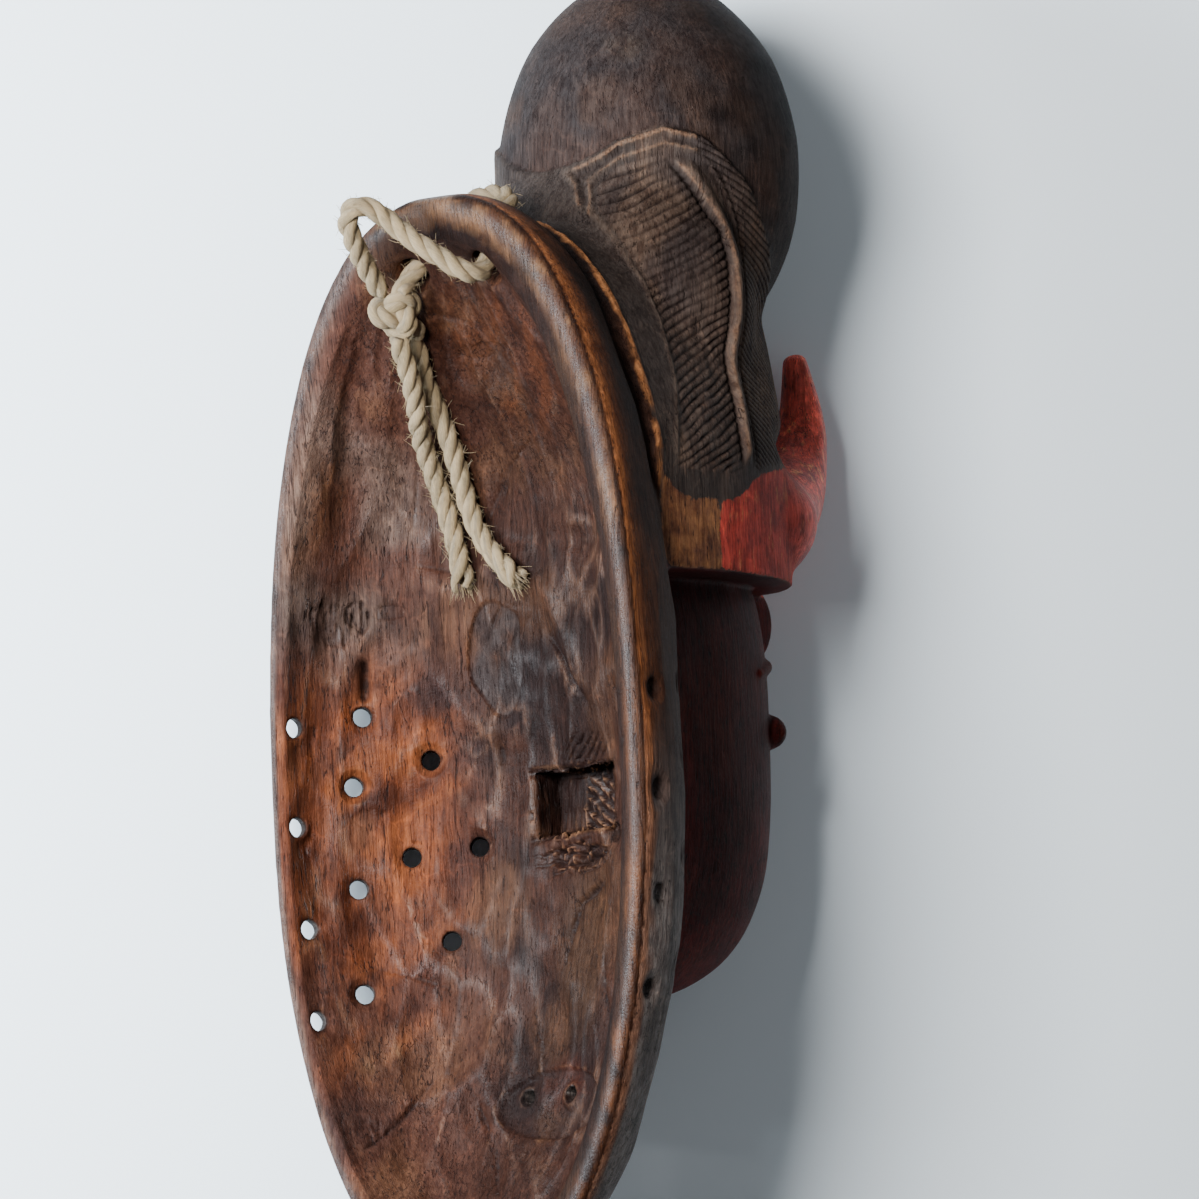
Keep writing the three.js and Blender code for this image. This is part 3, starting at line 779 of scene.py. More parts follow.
    def torn(self):
        """Points on the torn and combed places of the hollow, which need the finest mesh."""
        rough = self.pocket
        for centre, radii in [tear[:2] for tear in TEARS] + [COMB_HIGH, COMB_LOW, BLADE]:
            rough = rough | (self.inside & (radii_away(self.p[:, :2], centre, radii) < 1.1))
        return rough

    def tool_marks(self):
        """Cuts, tears and chisel combs in the hollow, by their places in plan."""
        x, y, z = self.p.T
        xy = self.p[:, :2]
        fine = noise(self.p * (1, 0.35, 1), 2.2, 21)
        fibre = noise(self.p * (1, 0.2, 1), 0.9, 23)
        cross = noise(self.p * (0.4, 1, 0.4), 1.6, 22)
        slot = smoothstep(18, 21, y) * (1 - smoothstep(30, 33, y))
        cut = 2.6 * bump(x - 58 + 0.08 * (y - 26), 1.0) * slot
        for centre, radii, depth in TEARS:
            spot = blob(xy, centre, radii)
            edge = smoothstep(0.15, 0.4, spot + (0.22 * fine + 0.12 * fibre) * (spot > 0))
            ragged = 0.35 + 0.55 * np.abs(fine) + 0.35 * fibre + 0.3 * np.clip(cross, 0, 1)
            cut += depth * edge * ragged
        for (x0, y0), (x1, y1), width, depth in KNIFE_CUTS:
            step = np.array([x1 - x0, y1 - y0], float)
            t = np.clip(((xy - (x0, y0)) @ step) / (step @ step), 0, 1)
            rest = xy - (np.array([x0, y0]) + t[:, None] * step)
            off = np.linalg.norm(rest, axis=1)
            side = (rest @ np.array([step[1], -step[0]])) / np.linalg.norm(step)
            ends = np.sin(np.pi * np.clip(t, 0.04, 0.96)) ** 0.5
            slope = 0.55 * bump(off, 4 * width) * (side > 0)
            cut += depth * ends * (bump(off + 0.5 * np.abs(fine), width) + slope)
        comb_high = blob(xy, *COMB_HIGH) * groove((x + 0.9 * y + 0.5 * fine) / 3.4)
        comb_low = groove((y + 0.2 * x + 1.2 * fine) / 3.1) + 0.5 * np.abs(cross) + 0.4 * fibre
        teeth = self.pocket * (y < -17) * groove((x + 0.5 * fine) / 2.1) * (x > -8)
        boards = self.pocket * (x < -2) * ((((x - 1.2 * y + 0.8 * fine) / 4.6) % 1) + 0.35 * fibre)
        cut += 1.6 * comb_high + 1.9 * blob(xy, *COMB_LOW) * comb_low + 1.4 * teeth + 2.4 * boards
        cut += 0.7 * self.pocket * (np.abs(fine) + 0.5 * fibre)
        crevice = bump(y + 24.5 + 0.12 * x, 1.3) + bump(y + 5.5, 1.1)
        cut += 1.6 * crevice * (x < 12) * (x > -26) * (z > 40)
        cut += 1.3 * (1 - smoothstep(0.92, 1.02, radii_away(xy, *OVAL)))
        tilt = 0.5 + 0.5 * smoothstep(-12, 12, x - BLADE[0][0])
        cut += 1.4 * (1 - smoothstep(0.95, 1.02, blade_share(xy))) * tilt
        return cut * self.inside * smoothstep(1.5, 5, z)

    def only(self, where, make):
        """Values worked out only where they are needed, in rows."""
        chosen = np.nonzero(where)[0]
        made = np.atleast_2d(make(chosen))
        out = np.zeros((len(made), len(self.p)))
        out[:, chosen] = made
        return out

    def depth(self):
        """How far each point moves along its normal, in millimetres."""
        y, z = self.p.T[1:]
        span = ((0, -165), (220, 160))
        move = 0.3 * noise(self.p, 34, 1) + 0.16 * noise(self.p, 12, 2)
        plan = self.plan
        wide, edges = self.only(self.inside, lambda i: facets(plan[i], 120, *span, (9, 22), 7))
        small, small_edges = self.only(
            self.inside, lambda i: facets(plan[i], 300, *span, (4.5, 11), 8, 0.8)
        )
        rough = smoothstep(0, 0.6, noise(self.p, 26, 9))
        self.cut_edges = np.maximum(edges, 0.7 * small_edges * rough) * self.inside
        hollow = 1.5 * wide + 0.75 * rough * small - 1.1 + 0.16 * noise(self.p * (1, 0.3, 1), 1.8, 10)
        self.marks = self.tool_marks()
        move += (hollow * self.inside - self.marks) * smoothstep(1, 7, z)
        move = np.where(self.rim, 0, move)
        self.crest = self.rim * bump(self.across - 0.66, 0.14)
        upper = smoothstep(66, 84, y) * (self.flank | self.coiffure) * (z > 12)
        lip = bump(z - LIP_Z - 0.8 * noise(self.p, 12, 13), LIP_WIDTH) * upper * (y < 165)
        self.lip = lip * (0.8 + 0.5 * noise(self.p, 6, 14) + 0.2 * noise(self.p, 2.5, 19))
        lip_groove = upper * bump(z - LIP_GROOVE_Z, LIP_GROOVE_WIDTH)
        move += LIP_HEIGHT * self.lip - LIP_GROOVE_DEPTH * lip_groove
        low = self.only(self.flank, lambda i: facets(plan[i], 80, *span, (12, 26), 11))[0]
        move += self.flank * (0.8 * low - 0.4)
        cuts = self.only(self.bun, lambda i: rounded_facets(self.p[i], 46, 26, 15))[0]
        move += self.bun * (1.1 * cuts - 0.6) * (1 - self.panel)
        move += RIDGE_HEIGHT * self.ridge - RIDGE_LINE_DEPTH * self.beside
        move -= HATCH_DEPTH * self.hatch + FEATHER_DEPTH * self.feather
        move += TOP_BAND_HEIGHT * self.top_band + BAND_LINE_HEIGHT * self.band_line
        move += self.panel * (0.3 * noise(self.p, 3, 16) + 0.3 * noise(self.p, 7, 17))
        notch = bump(y - NOTCH_Y, NOTCH_WIDTH) * smoothstep(96, 120, z)
        move -= NOTCH_DEPTH * notch * (1 - self.horn) * self.coiffure
        move += (self.coiffure + 0.6 * self.face) * 0.3 * noise(self.p, 15, 18)
        hole = 1 - smoothstep(0.7, 3, self.to_hole)
        return move * (1 - hole) - 0.3 * hole


# Combed places, the long gouge cut and the oval round the low holes in plan: middle and radii
COMB_HIGH, COMB_LOW, BLADE = ((-13, 0), (13, 7)), ((-6, -32), (20, 7)), ((20, 31), (10, 18))
OVAL = ((-3, -106), (22, 11))
# Tears in plan: middle, radii and depth
TEARS = [
    ((63, 43), (6, 8), 1.3), ((58, 45), (3, 6), 1.6), ((51, 46), (6, 3), 1.0),
    ((75, -13), (5, 8), 1.5), ((72, -22), (4, 8), 1.3), ((70, 8), (5, 6), 0.9),
    ((48, 127), (10, 6), 1.0), ((59, -16), (5, 4), 0.7), ((30, 77), (8, 3), 0.8),
    ((2, 120), (14, 3), 0.8), ((-10, -32), (19, 4), 1.9), ((54, -112), (7, 5), 0.9),
]
# Long cuts in plan: both ends, width and depth
KNIFE_CUTS = [
    ((-18, -40), (-8, -46), 1.0, 1.6), ((-8, -46), (-3, -62), 0.8, 1.4),
    ((0, 36), (-10, 22), 0.8, 1.3), ((-10, 22), (-16, 12), 0.7, 1.2),
    ((17, 47), (24, 34), 0.7, 0.9), ((22, 4), (21, -2), 0.9, 1.4), ((12, 88), (22, 70), 0.7, 0.8),
    ((40, -95), (52, -120), 0.8, 1.0), ((10, -80), (4, -92), 0.6, 0.8),
    ((38, 94), (44, 70), 0.6, 0.8), ((60, -60), (35, -70), 0.6, 0.6),
    ((-30, 20), (-34, 0), 0.7, 0.9), ((-40, 70), (-44, 40), 0.7, 0.9),
    ((44, 60), (30, 56), 0.6, 0.8), ((-20, -60), (-26, -90), 0.7, 0.9),
    ((30, -98), (17, -119), 0.6, 0.9), ((17, -119), (14, -131), 0.6, 0.9),
    ((-4, 105), (-1, 94), 0.6, 0.7), ((-1, 94), (12, 86), 0.6, 0.7), ((12, 86), (16, 77), 0.6, 0.7),
    ((18, 133), (2, 128), 0.6, 0.6),
]


def neighbours(piece):
    """A function that gives each point the mean of its neighbours' values."""
    edges = np.empty(len(piece.data.edges) * 2, int)
    piece.data.edges.foreach_get("vertices", edges)
    a, b = edges.reshape(-1, 2).T
    count = len(piece.data.vertices)
    near = np.bincount(a, minlength=count) + np.bincount(b, minlength=count)

    def mean(values):
        return (np.bincount(a, values[b], count) + np.bincount(b, values[a], count)) / near

    return mean


def smoothed(piece, points, weight, rounds):
    """Points drawn towards the mean of their neighbours, by their weights."""
    mean = neighbours(piece)
    for _ in range(rounds):
        middle = np.stack([mean(points[:, k]) for k in range(3)], 1)
        points = points + weight[:, None] * (middle - points)
    return points


def wear_rim(piece, c, points):
    """Bevel the rim towards the hollow and round its edges, as if worn by hands."""
    slope = RIM_WEAR * np.clip((0.7 - c.across) / 0.7, 0, 1) ** 1.3
    wall = c.inside & (c.p[:, 2] < 12) & (c.to_cavity < 6)
    points = points.copy()
    points[:, 2] += np.where(c.rim, slope, 0)
    points[:, 2] = np.where(wall, np.hypot(points[:, 2], RIM_WEAR), points[:, 2])
    weight = 0.8 * (1 - smoothstep(5, 9, c.p[:, 2])) * smoothstep(0.3, 2.5, c.to_hole)
    return smoothed(piece, points, weight, 16)


def blend_crown(piece):
    """Smooth the hair's panels into one swelling surface, where hair block and bun meet."""
    p, n = read(piece)
    carving = Carving(p, n)
    y, z = p.T[1:]
    weight = carving.crown * smoothstep(32, 37, z) * (1 - smoothstep(-6, -2.5, y - top_y(z)))
    weight = weight * smoothstep(84, 96, y) * (1 - smoothstep(118, 126, z))
    root = (carving.coiffure | carving.crown) * smoothstep(84, 96, z)
    root = root * smoothstep(51, 57, y) * (1 - smoothstep(92, 100, y))
    weight = np.maximum(weight, 0.9 * root)
    write(piece, smoothed(piece, p, 0.9 * weight, 70))


def curvature(piece, points, normals):
    """How far each point stands out from its neighbours, in millimetres, smoothed a little."""
    mean = neighbours(piece)
    middle = np.stack([mean(points[:, k]) for k in range(3)], 1)
    out = ((points - middle) * normals).sum(1)
    for _ in range(2):
        out = 0.5 * out + 0.5 * mean(out)
    return out


def srgb(red, green, blue):
    value = np.array([red, green, blue]) / 255
    return np.where(value < 0.04045, value / 12.92, ((value + 0.055) / 1.055) ** 2.4)


def mix(base, colour, share):
    return base + (colour - base) * np.clip(share, 0, 1)[:, None]


def plain(colour, count):
    return np.tile(srgb(*colour), (count, 1))


# Soft spots of colour in the hollow in plan: share, middle and radii
WARM_SPOTS = [(1, (57, -18), (34, 66)), (0.6, (50, -84), (18, 26)), (0.5, (-8, 118), (34, 30))]
DUSK_SPOTS = [
    (1, (20, 18), (24, 44)), (0.8, (42, 20), (9, 8)), (0.7, (38, -24), (7, 16)),
    (0.7, (-2, -104), (26, 20)), (0.8, (54, -110), (14, 16)),
]


def spots(xy, rows):
    return sum(share * blob(xy, centre, radii) for share, centre, radii in rows)


def hollow_tones(c):
    """The hollow: purple-brown above, reddish orange round the cheek holes, grey-brown below."""
    p = c.p
    xy = p[:, :2]
    mid, small = noise(p, 15, 41), noise(p, 5, 42)
    cloud = 0.5 * noise(p, 40, 40) + 0.35 * mid + 0.15 * small
    streak = noise(p * (1, 0.16, 1), 3.2, 43)
    tone = mix(plain((96, 62, 50), len(p)), srgb(68, 47, 42), smoothstep(-0.15, 0.5, cloud))
    tone = mix(tone, srgb(122, 84, 62), 0.75 * smoothstep(0.05, 0.6, noise(p, 22, 44) + 0.3 * streak))
    warm = spots(xy, WARM_SPOTS)
    tone = mix(tone, srgb(138, 76, 48), 0.8 * warm * smoothstep(-0.5, 0.35, cloud + 0.35 * streak))
    slanted = np.stack([0.2 * (0.87 * c.around + 0.5 * xy[:, 1]), 0.87 * xy[:, 1] - 0.5 * c.around], 1)
    flame = noise(slanted, 6, 48) + 0.4 * noise(slanted, 2.4, 52)
    tone = mix(tone, srgb(66, 34, 26), 0.7 * warm * smoothstep(0.15, 0.55, flame))
    tone = mix(tone, srgb(174, 98, 56), 0.6 * warm * smoothstep(-0.15, -0.55, flame))
    dusk = 0.75 * spots(xy, DUSK_SPOTS) * smoothstep(-0.6, 0.3, mid + 0.3 * small)
    tone = mix(tone, srgb(62, 47, 46), dusk)
    tone = mix(tone, srgb(124, 62, 44), 0.6 * blob(xy, (-6, -100), (14, 10)))
    blade = 0.7 * (1 - smoothstep(0.94, 1, blade_share(xy)))
    tone = mix(tone, srgb(96, 86, 84), blade * smoothstep(-0.8, 0.2, small))
    pale = 0.9 * blob(xy, (51, -91), (6, 5))
    tone = mix(tone, srgb(182, 146, 106), pale * smoothstep(-0.2, 0.3, small))
    tone = mix(tone, srgb(116, 84, 62), 0.6 * blob(xy, (-12, -60), (16, 34)))
    # Painted sheen: a lighter, greyish patch high on the hollow's wall at positive x, standing in for a
    # reflection
    painted_sheen = 0.6 * blob(xy, (58, 74), (30, 62))
    tone = mix(tone, srgb(132, 112, 100), painted_sheen * smoothstep(-0.5, 0.4, mid))
    tone = mix(tone, srgb(158, 108, 76), 0.6 * c.cut_edges * smoothstep(-0.1, 0.4, noise(p, 11, 45)))
    return tone * (1 - 0.5 * smoothstep(44, 4, p[:, 0]))[:, None]


def rim_tones(c):
    """A band along the crest is worn to bare wood; the bevel towards the hollow is not."""
    p = c.p
    x, y = p.T[:2]
    mid, small = noise(p, 15, 41), noise(p, 5, 42)
    worn = smoothstep(-0.4, 0.6, mid + 0.5 * small)
    tone = mix(plain((112, 70, 46), len(p)), srgb(160, 100, 60), worn)
    pale = smoothstep(40, 90, y) * smoothstep(34, 14, x)
    tone = mix(tone, srgb(184, 134, 92), 0.85 * pale * smoothstep(-0.4, 0.3, small + mid))
    tone = mix(tone, srgb(92, 76, 70), 0.8 * smoothstep(10, 40, x))
    tone = mix(tone, srgb(60, 42, 36), 0.8 * smoothstep(0.3, 0.55, noise(p, 6, 46)))
    ragged = c.across + 0.07 * mid + 0.05 * small
    tone = mix(tone, srgb(74, 46, 34), smoothstep(0.86, 0.96, ragged))
    bevel = (1 - smoothstep(0.34, 0.46, ragged))[:, None]
    return (bevel * hollow_tones(c) + (1 - bevel) * tone) * (0.6 + 0.9 * smoothstep(5, 55, x))[:, None]


def flank_tones(c):
    """Dark brown beside the coiffure, grey-brown towards the chin, and painted shade in the groove
    under the lip.
    """
    p = c.p
    y, z = p.T[1:]
    cloud = 0.6 * noise(p, 40, 40) + 0.4 * noise(p, 15, 41)
    streak = noise(p * (1, 0.1, 1), 2.4, 50)
    tone = mix(plain((74, 48, 36), len(p)), srgb(44, 32, 28), smoothstep(-0.2, 0.5, cloud))
    tone = mix(tone, srgb(136, 127, 122), smoothstep(10, -60, y) * 0.9)
    tone = mix(tone, srgb(52, 46, 44), 0.5 * smoothstep(0.2, 0.6, streak) * smoothstep(10, -40, y))
    tone = mix(tone, srgb(96, 58, 36), 0.8 * (1 - smoothstep(5, 13, z)) * smoothstep(-20, 30, y))
    # Painted shade in the groove under the lip, beside the coiffure
    tone = mix(tone, srgb(34, 26, 24), 0.8 * bump(z - 26, 3.2) * smoothstep(62, 80, y))
    return mix(tone, srgb(132, 82, 50), 0.75 * bump(c.to_edge, 2.2) * (z < 5))


def crown_tones(c):
    """Grey-brown hair with dark lines and worn ridges, and the darker bun."""
    p = c.p
    y, z = p.T[1:]
    mid, small = noise(p, 15, 41), noise(p, 5, 42)
    cloud = 0.6 * noise(p, 40, 40) + 0.4 * mid
    streak = noise(p * (1, 0.3, 1), 4, 51)
    tone = mix(plain((88, 74, 66), len(p)), srgb(64, 55, 52), smoothstep(-0.2, 0.5, cloud))
    tone = mix(tone, srgb(104, 84, 70), 0.6 * smoothstep(0, 0.5, noise(p, 18, 47) + 0.3 * streak))
    tone = mix(tone, srgb(60, 53, 50), 0.8 * (c.panel < 0.4) * (z < 60) * c.coiffure)
    tone = mix(tone, srgb(38, 31, 29), 0.85 * np.clip(c.hatch + c.feather + c.beside, 0, 1))
    tone = mix(tone, srgb(106, 90, 78), 0.5 * np.clip(c.top_band + c.band_line + c.ridge, 0, 1))
    tone = tone * (1 - 0.38 * smoothstep(128, 168, y))[:, None]
    bun = mix(plain((80, 64, 58), len(p)), srgb(64, 58, 58), smoothstep(-0.2, 0.4, cloud + 0.2 * small))
    bun = mix(bun, srgb(92, 70, 58), 0.5 * smoothstep(0.1, 0.6, mid + 0.3 * streak))
    for centre, radii, colour in BUN_MARKS:
        mark = 0.8 * blob(p, centre, radii)
        bun = mix(bun, srgb(*colour), mark * smoothstep(-0.4, 0.4, small + 0.5 * mid))
    return np.where((c.bun & (c.panel < 0.05))[:, None], 0.45 * bun, tone)


# Scuffs and dark spots on the bun: middle, radii and colour
BUN_MARKS = [
    ((-22, 214, 60), (9, 7, 12), (128, 112, 98)), ((-40, 190, 84), (7, 6, 10), (36, 30, 30)),
    ((-34, 206, 110), (12, 7, 14), (48, 42, 42)),
]


def tones(c):
    """Broad colours of the wood at each point, from its zones and a little noise."""
    p = c.p
    cloud = 0.6 * noise(p, 40, 40) + 0.4 * noise(p, 15, 41)
    tone = mix(plain((104, 34, 30), len(p)), srgb(72, 29, 27), smoothstep(-0.3, 0.4, cloud))
    tone = mix(tone, srgb(108, 50, 40), 0.4 * smoothstep(0.2, 0.6, noise(p, 20, 49)))
    zones = (
        (c.coiffure | c.bun, crown_tones, 0.78),
        (c.flank, flank_tones, 0.62),
        (c.rim, rim_tones, 0.27),
        (c.inside, hollow_tones, 0.31),
    )
    tone = 0.6 * tone
    for where, make, shade in zones:
        tone = np.where(where[:, None], shade * make(c), tone)
    tone = mix(tone, srgb(24, 18, 17), 0.6 * (1 - smoothstep(0, 1.2, c.to_hole)))
    return mix(tone, srgb(150, 100, 62), 0.9 * smoothstep(0.35, 0.65, c.lip))


def paint_edges(c):
    """Signed distances to the edges of the red paint and the bare temples, negative within."""
    y, z = c.p.T[1:]
    line = y - hairline_y(z)
    brow = np.where(c.coiffure, line, 99)
    red = np.minimum(np.maximum(brow, PAINT_BACK_Z - z), np.where(c.inside, 99, c.from_horn - 0.8))
    bare = np.maximum(np.maximum(brow, z - PAINT_BACK_Z), 30.5 - z)
    return np.clip(red, -9, 9), np.clip(bare, -9, 9)


def glosses(c):
    """Roughness of the wood at each point."""
    rough = np.full(len(c.p), 0.56)
    rough = np.where(c.inside, 0.48 + 0.12 * noise(c.p, 12, 60), rough)
    rough = np.where(c.rim, 0.42, rough)
    rough = np.where(c.coiffure | c.bun, 0.6, rough)
    rough = rough - 0.16 * c.crest - 0.2 * c.horn
    return np.where(c.face, 0.46, rough)


def shines(c):
    """Strength of the highlights: hands have polished the rim, the horn and the edges of cuts."""
    shine = np.where(c.inside, 0.035 + 0.1 * c.cut_edges, 0.03)
    shine = np.where(c.rim, 0.03 + 0.12 * c.crest, shine)
    return shine + 0.2 * c.horn


def add_attribute(piece, name, kind, values):
    attribute = piece.data.attributes.new(name, kind, "POINT")
    field = {"FLOAT": "value", "FLOAT_VECTOR": "vector", "FLOAT_COLOR": "color"}[kind]
    attribute.data.foreach_set(field, np.ascontiguousarray(values, np.float32).ravel())


# Material helpers
class Nodes:
    """Writes a node material line by line."""

    def __init__(self, name):
        self.material = bpy.data.materials.new(name)
        self.material.use_nodes = True
        self.tree = self.material.node_tree
        self.shader = self.tree.nodes["Principled BSDF"]

    def add(self, kind, inputs=None, **settings):
        node = self.tree.nodes.new(kind)
        for key, value in settings.items():
            setattr(node, key, value)
        for key, value in (inputs or {}).items():
            self.feed(node.inputs[key], value)
        return node

    def feed(self, socket, value):
        """Link a socket, or set its plain value."""
        if isinstance(value, bpy.types.NodeSocket):
            self.tree.links.new(value, socket)
        else:
            socket.default_value = value

    def attribute(self, name, output="Fac"):
        return self.add("ShaderNodeAttribute", attribute_name=name).outputs[output]

    def stretched(self, place, scale):
        return self.add("ShaderNodeVectorMath", {0: place, 1: scale}, operation="MULTIPLY").outputs[0]

    def noise(self, place, scale, detail=3, rough=0.55):
        inputs = {"Vector": place, "Scale": scale, "Detail": detail, "Roughness": rough}
        return self.add("ShaderNodeTexNoise", inputs).outputs["Fac"]

    def voronoi(self, place, scale):
        inputs = {"Vector": place, "Scale": scale}
        node = self.add("ShaderNodeTexVoronoi", inputs, feature="DISTANCE_TO_EDGE")
        return node.outputs["Distance"]

    def wander(self, place):
        """Offset of a few millimetres that bends straight lines."""
        inputs = {"Vector": place, "Scale": 0.12, "Detail": 2}
        colour = self.add("ShaderNodeTexNoise", inputs).outputs["Color"]
        return self.stretched(colour, (7, 7, 7))

    def line(self, value, level, width):
        """Thin line where a value passes a level."""
        off = self.math("ABSOLUTE", self.math("SUBTRACT", value, level), 0.0)
        return self.ramp(off, width, width * 0.3)

    def ramp(self, value, low, high, first=0.0, last=1.0):
        inputs = {"Value": value, "From Min": low, "From Max": high, "To Min": first, "To Max": last}
        return self.add("ShaderNodeMapRange", inputs).outputs[0]

    def math(self, operation, first, second):
        return self.add("ShaderNodeMath", {0: first, 1: second}, operation=operation).outputs[0]

    def times(self, first, second):
        return self.math("MULTIPLY", first, second)

    def mix(self, share, first, second, blend="MIX"):
        node = self.add("ShaderNodeMix", data_type="RGBA", blend_type=blend)
        for key, value in ((0, share), (6, first), (7, second)):
            self.feed(node.inputs[key], value)
        return node.outputs[2]

    def bump(self, height, strength, distance, under=None):
        inputs = {"Height": height, "Strength": strength, "Distance": distance}
        if under is not None:
            inputs["Normal"] = under
        return self.add("ShaderNodeBump", inputs).outputs[0]

    def finish(self, **sockets):
        for name, value in sockets.items():
            self.feed(self.shader.inputs[name.replace("_", " ")], value)


def paint(red, green, blue):
    return (*srgb(red, green, blue), 1)


def wood_material():
    """Old hand-cut wood: tones from the carving, grain, pores, worn edges, and darker colour in dents
    and cuts.
    """
    m = Nodes("carved_wood")
    at = m.attribute("at", "Vector")
    along = m.stretched(at, (1, 0.07, 1))
    grain = m.noise(along, 0.9, 5, 0.65)
    fibre = m.noise(along, 2.6, 3, 0.6)
    blotch = m.noise(at, 0.16, 4, 0.6)
    speck = m.noise(at, 1.5, 2, 0.5)
    pores = m.ramp(m.noise(m.stretched(at, (1, 0.12, 1)), 1.7, 2, 0.5), 0.64, 0.7)
    crack = m.line(m.noise(m.stretched(at, (1, 0.06, 1)), 0.16, 4, 0.6), 0.5, 0.006)
    scratch = m.line(m.noise(m.stretched(at, (0.5, 0.3, 1)), 0.2, 2, 0.5), 0.56, 0.004)
    bent = m.add("ShaderNodeVectorMath", {0: at, 1: m.wander(at)}, operation="ADD").outputs[0]
    chop = m.ramp(m.voronoi(m.stretched(bent, (1, 0.6, 1)), 0.12), 0.05, 0.012)
    here = m.ramp(m.noise(at, 0.07, 3, 0.5), 0.48, 0.56)
    ragged = m.times(m.ramp(m.noise(at, 0.45, 4, 0.7), 0, 1, -1, 1), 2.2)
    patch = m.noise(at, 0.1, 5, 0.65)
    temple = m.mix(m.ramp(patch, 0.4, 0.62), paint(138, 94, 62), paint(96, 62, 46))
    red = m.mix(m.ramp(patch, 0.42, 0.66), paint(176, 66, 56), paint(122, 46, 40))
    scuffs = m.ramp(m.noise(m.stretched(at, (1, 0.35, 1)), 0.28, 6, 0.75), 0.56, 0.66, 0, 0.75)
    red = m.mix(scuffs, red, paint(190, 112, 76))
    # Painted light: the red on the horn is brightened, as if it were lit more than the same red on the
    # block
    red = m.mix(m.attribute("horn"), red, (2.2, 2.8, 2.8, 1), "MULTIPLY")
    colour = m.attribute("tone", "Color")
    bare_here = m.ramp(m.math("ADD", m.attribute("bare_edge"), ragged), 0.4, -0.4)
    ragged_red = m.math("ADD", m.attribute("red_edge"), m.times(ragged, 0.6))
    red_here = m.ramp(ragged_red, 0.3, -0.3)
    colour = m.mix(bare_here, colour, temple)
    colour = m.mix(red_here, colour, red)
    colour = m.mix(m.ramp(grain, 0.4, 0.62), colour, (0.55, 0.5, 0.5, 1), "MULTIPLY")
    colour = m.mix(m.ramp(blotch, 0.48, 0.6, 0, 0.6), colour, (0.6, 0.56, 0.56, 1), "MULTIPLY")
    colour = m.mix(m.ramp(fibre, 0.54, 0.66, 0, 0.6), colour, (1.75, 1.6, 1.45, 1), "MULTIPLY")
    colour = m.mix(m.times(pores, 0.7), colour, paint(20, 14, 13))
    light_lines = m.times(m.math("MAXIMUM", scratch, chop), here)
    colour = m.mix(m.times(light_lines, 0.35), colour, (1.9, 1.75, 1.6, 1), "MULTIPLY")
    colour = m.mix(m.times(crack, 0.8), colour, paint(20, 13, 12))
    worn = m.times(m.ramp(m.attribute("wear"), 0.06, 0.3), m.ramp(speck, 0.35, 0.6, 0.25, 1))
    colour = m.mix(m.times(worn, 0.5), colour, paint(140, 100, 72))
    # Darker colour in dents and in the cuts of the hollow
    dark_in_dents = m.times(m.ramp(m.attribute("dent"), 0.05, 0.32), m.ramp(blotch, 0.3, 0.6, 0.5, 1))
    colour = m.mix(m.times(dark_in_dents, 0.85), colour, paint(22, 15, 14))
    dust = m.ramp(m.noise(at, 0.9, 5, 0.75), 0.68, 0.74, 0, 0.35)
    colour = m.mix(dust, colour, paint(120, 108, 98))
    rough = m.math("ADD", m.attribute("gloss"), m.ramp(speck, 0.3, 0.7, -0.08, 0.1))
    height = m.math("ADD", m.times(grain, 0.7), m.times(pores, -0.6))
    height = m.math("ADD", height, m.times(speck, 0.35))
    height = m.math("ADD", height, m.times(fibre, 0.4))
    height = m.math("SUBTRACT", height, m.times(crack, 0.6))
    shine = m.times(m.attribute("shine"), m.ramp(speck, 0.3, 0.7, 0.6, 1.4))
    m.shader.inputs["Specular IOR Level"].default_value = 0.06
    normal = m.bump(height, 0.7, 0.0006)
    m.finish(Base_Color=colour, Roughness=rough, Specular_IOR_Level=shine, Normal=normal)
    return m.material


def finer(piece, where):
    """Cut the faces around the chosen points in two, so that fine carving has enough points."""
    shape = bmesh.new()
    shape.from_mesh(piece.data)
    shape.verts.ensure_lookup_table()
    edges = [e for e in shape.edges if where[e.verts[0].index] and where[e.verts[1].index]]
    bmesh.ops.subdivide_edges(shape, edges=edges, cuts=1, use_grid_fill=True)
    shape.to_mesh(piece.data)
    shape.free()


def add_wood():
    wood = raw_wood()
    remesh(wood)
    blend_crown(wood)
    first = Carving(*read(wood))
    finer(wood, (first.panel > 0) | (first.front > 0.3) | first.torn())
    carving = Carving(*read(wood))
    carving.find_edges()
    carving.find_lines()
    write(wood, wear_rim(wood, carving, carving.p + carving.n * carving.depth()[:, None]))
    moved, normals = read(wood)
    stands_out = curvature(wood, moved, normals)
    add_attribute(wood, "at", "FLOAT_VECTOR", carving.p)
    add_attribute(wood, "tone", "FLOAT_COLOR", np.hstack([tones(carving), np.ones((len(moved), 1))]))
    red_edge, bare_edge = paint_edges(carving)
    single = {
        "gloss": glosses(carving), "shine": shines(carving), "horn": carving.horn,
        "red_edge": red_edge, "bare_edge": bare_edge, "wear": np.maximum(stands_out, 0),
        "dent": np.maximum(-stands_out, 0) + 0.12 * carving.marks,
    }
    for name, values in single.items():
        add_attribute(wood, name, "FLOAT", values)
    thin_out(wood)
    placed = to_frame(read(wood)[0])
    placed[:, 2] = np.maximum(placed[:, 2], 0)
    write(wood, placed)
    wood.data.polygons.foreach_set("use_smooth", np.ones(len(wood.data.polygons), bool))
    wood.data.materials.clear()
    wood.data.materials.append(wood_material())
    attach(wood, "root")
    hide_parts("mask")


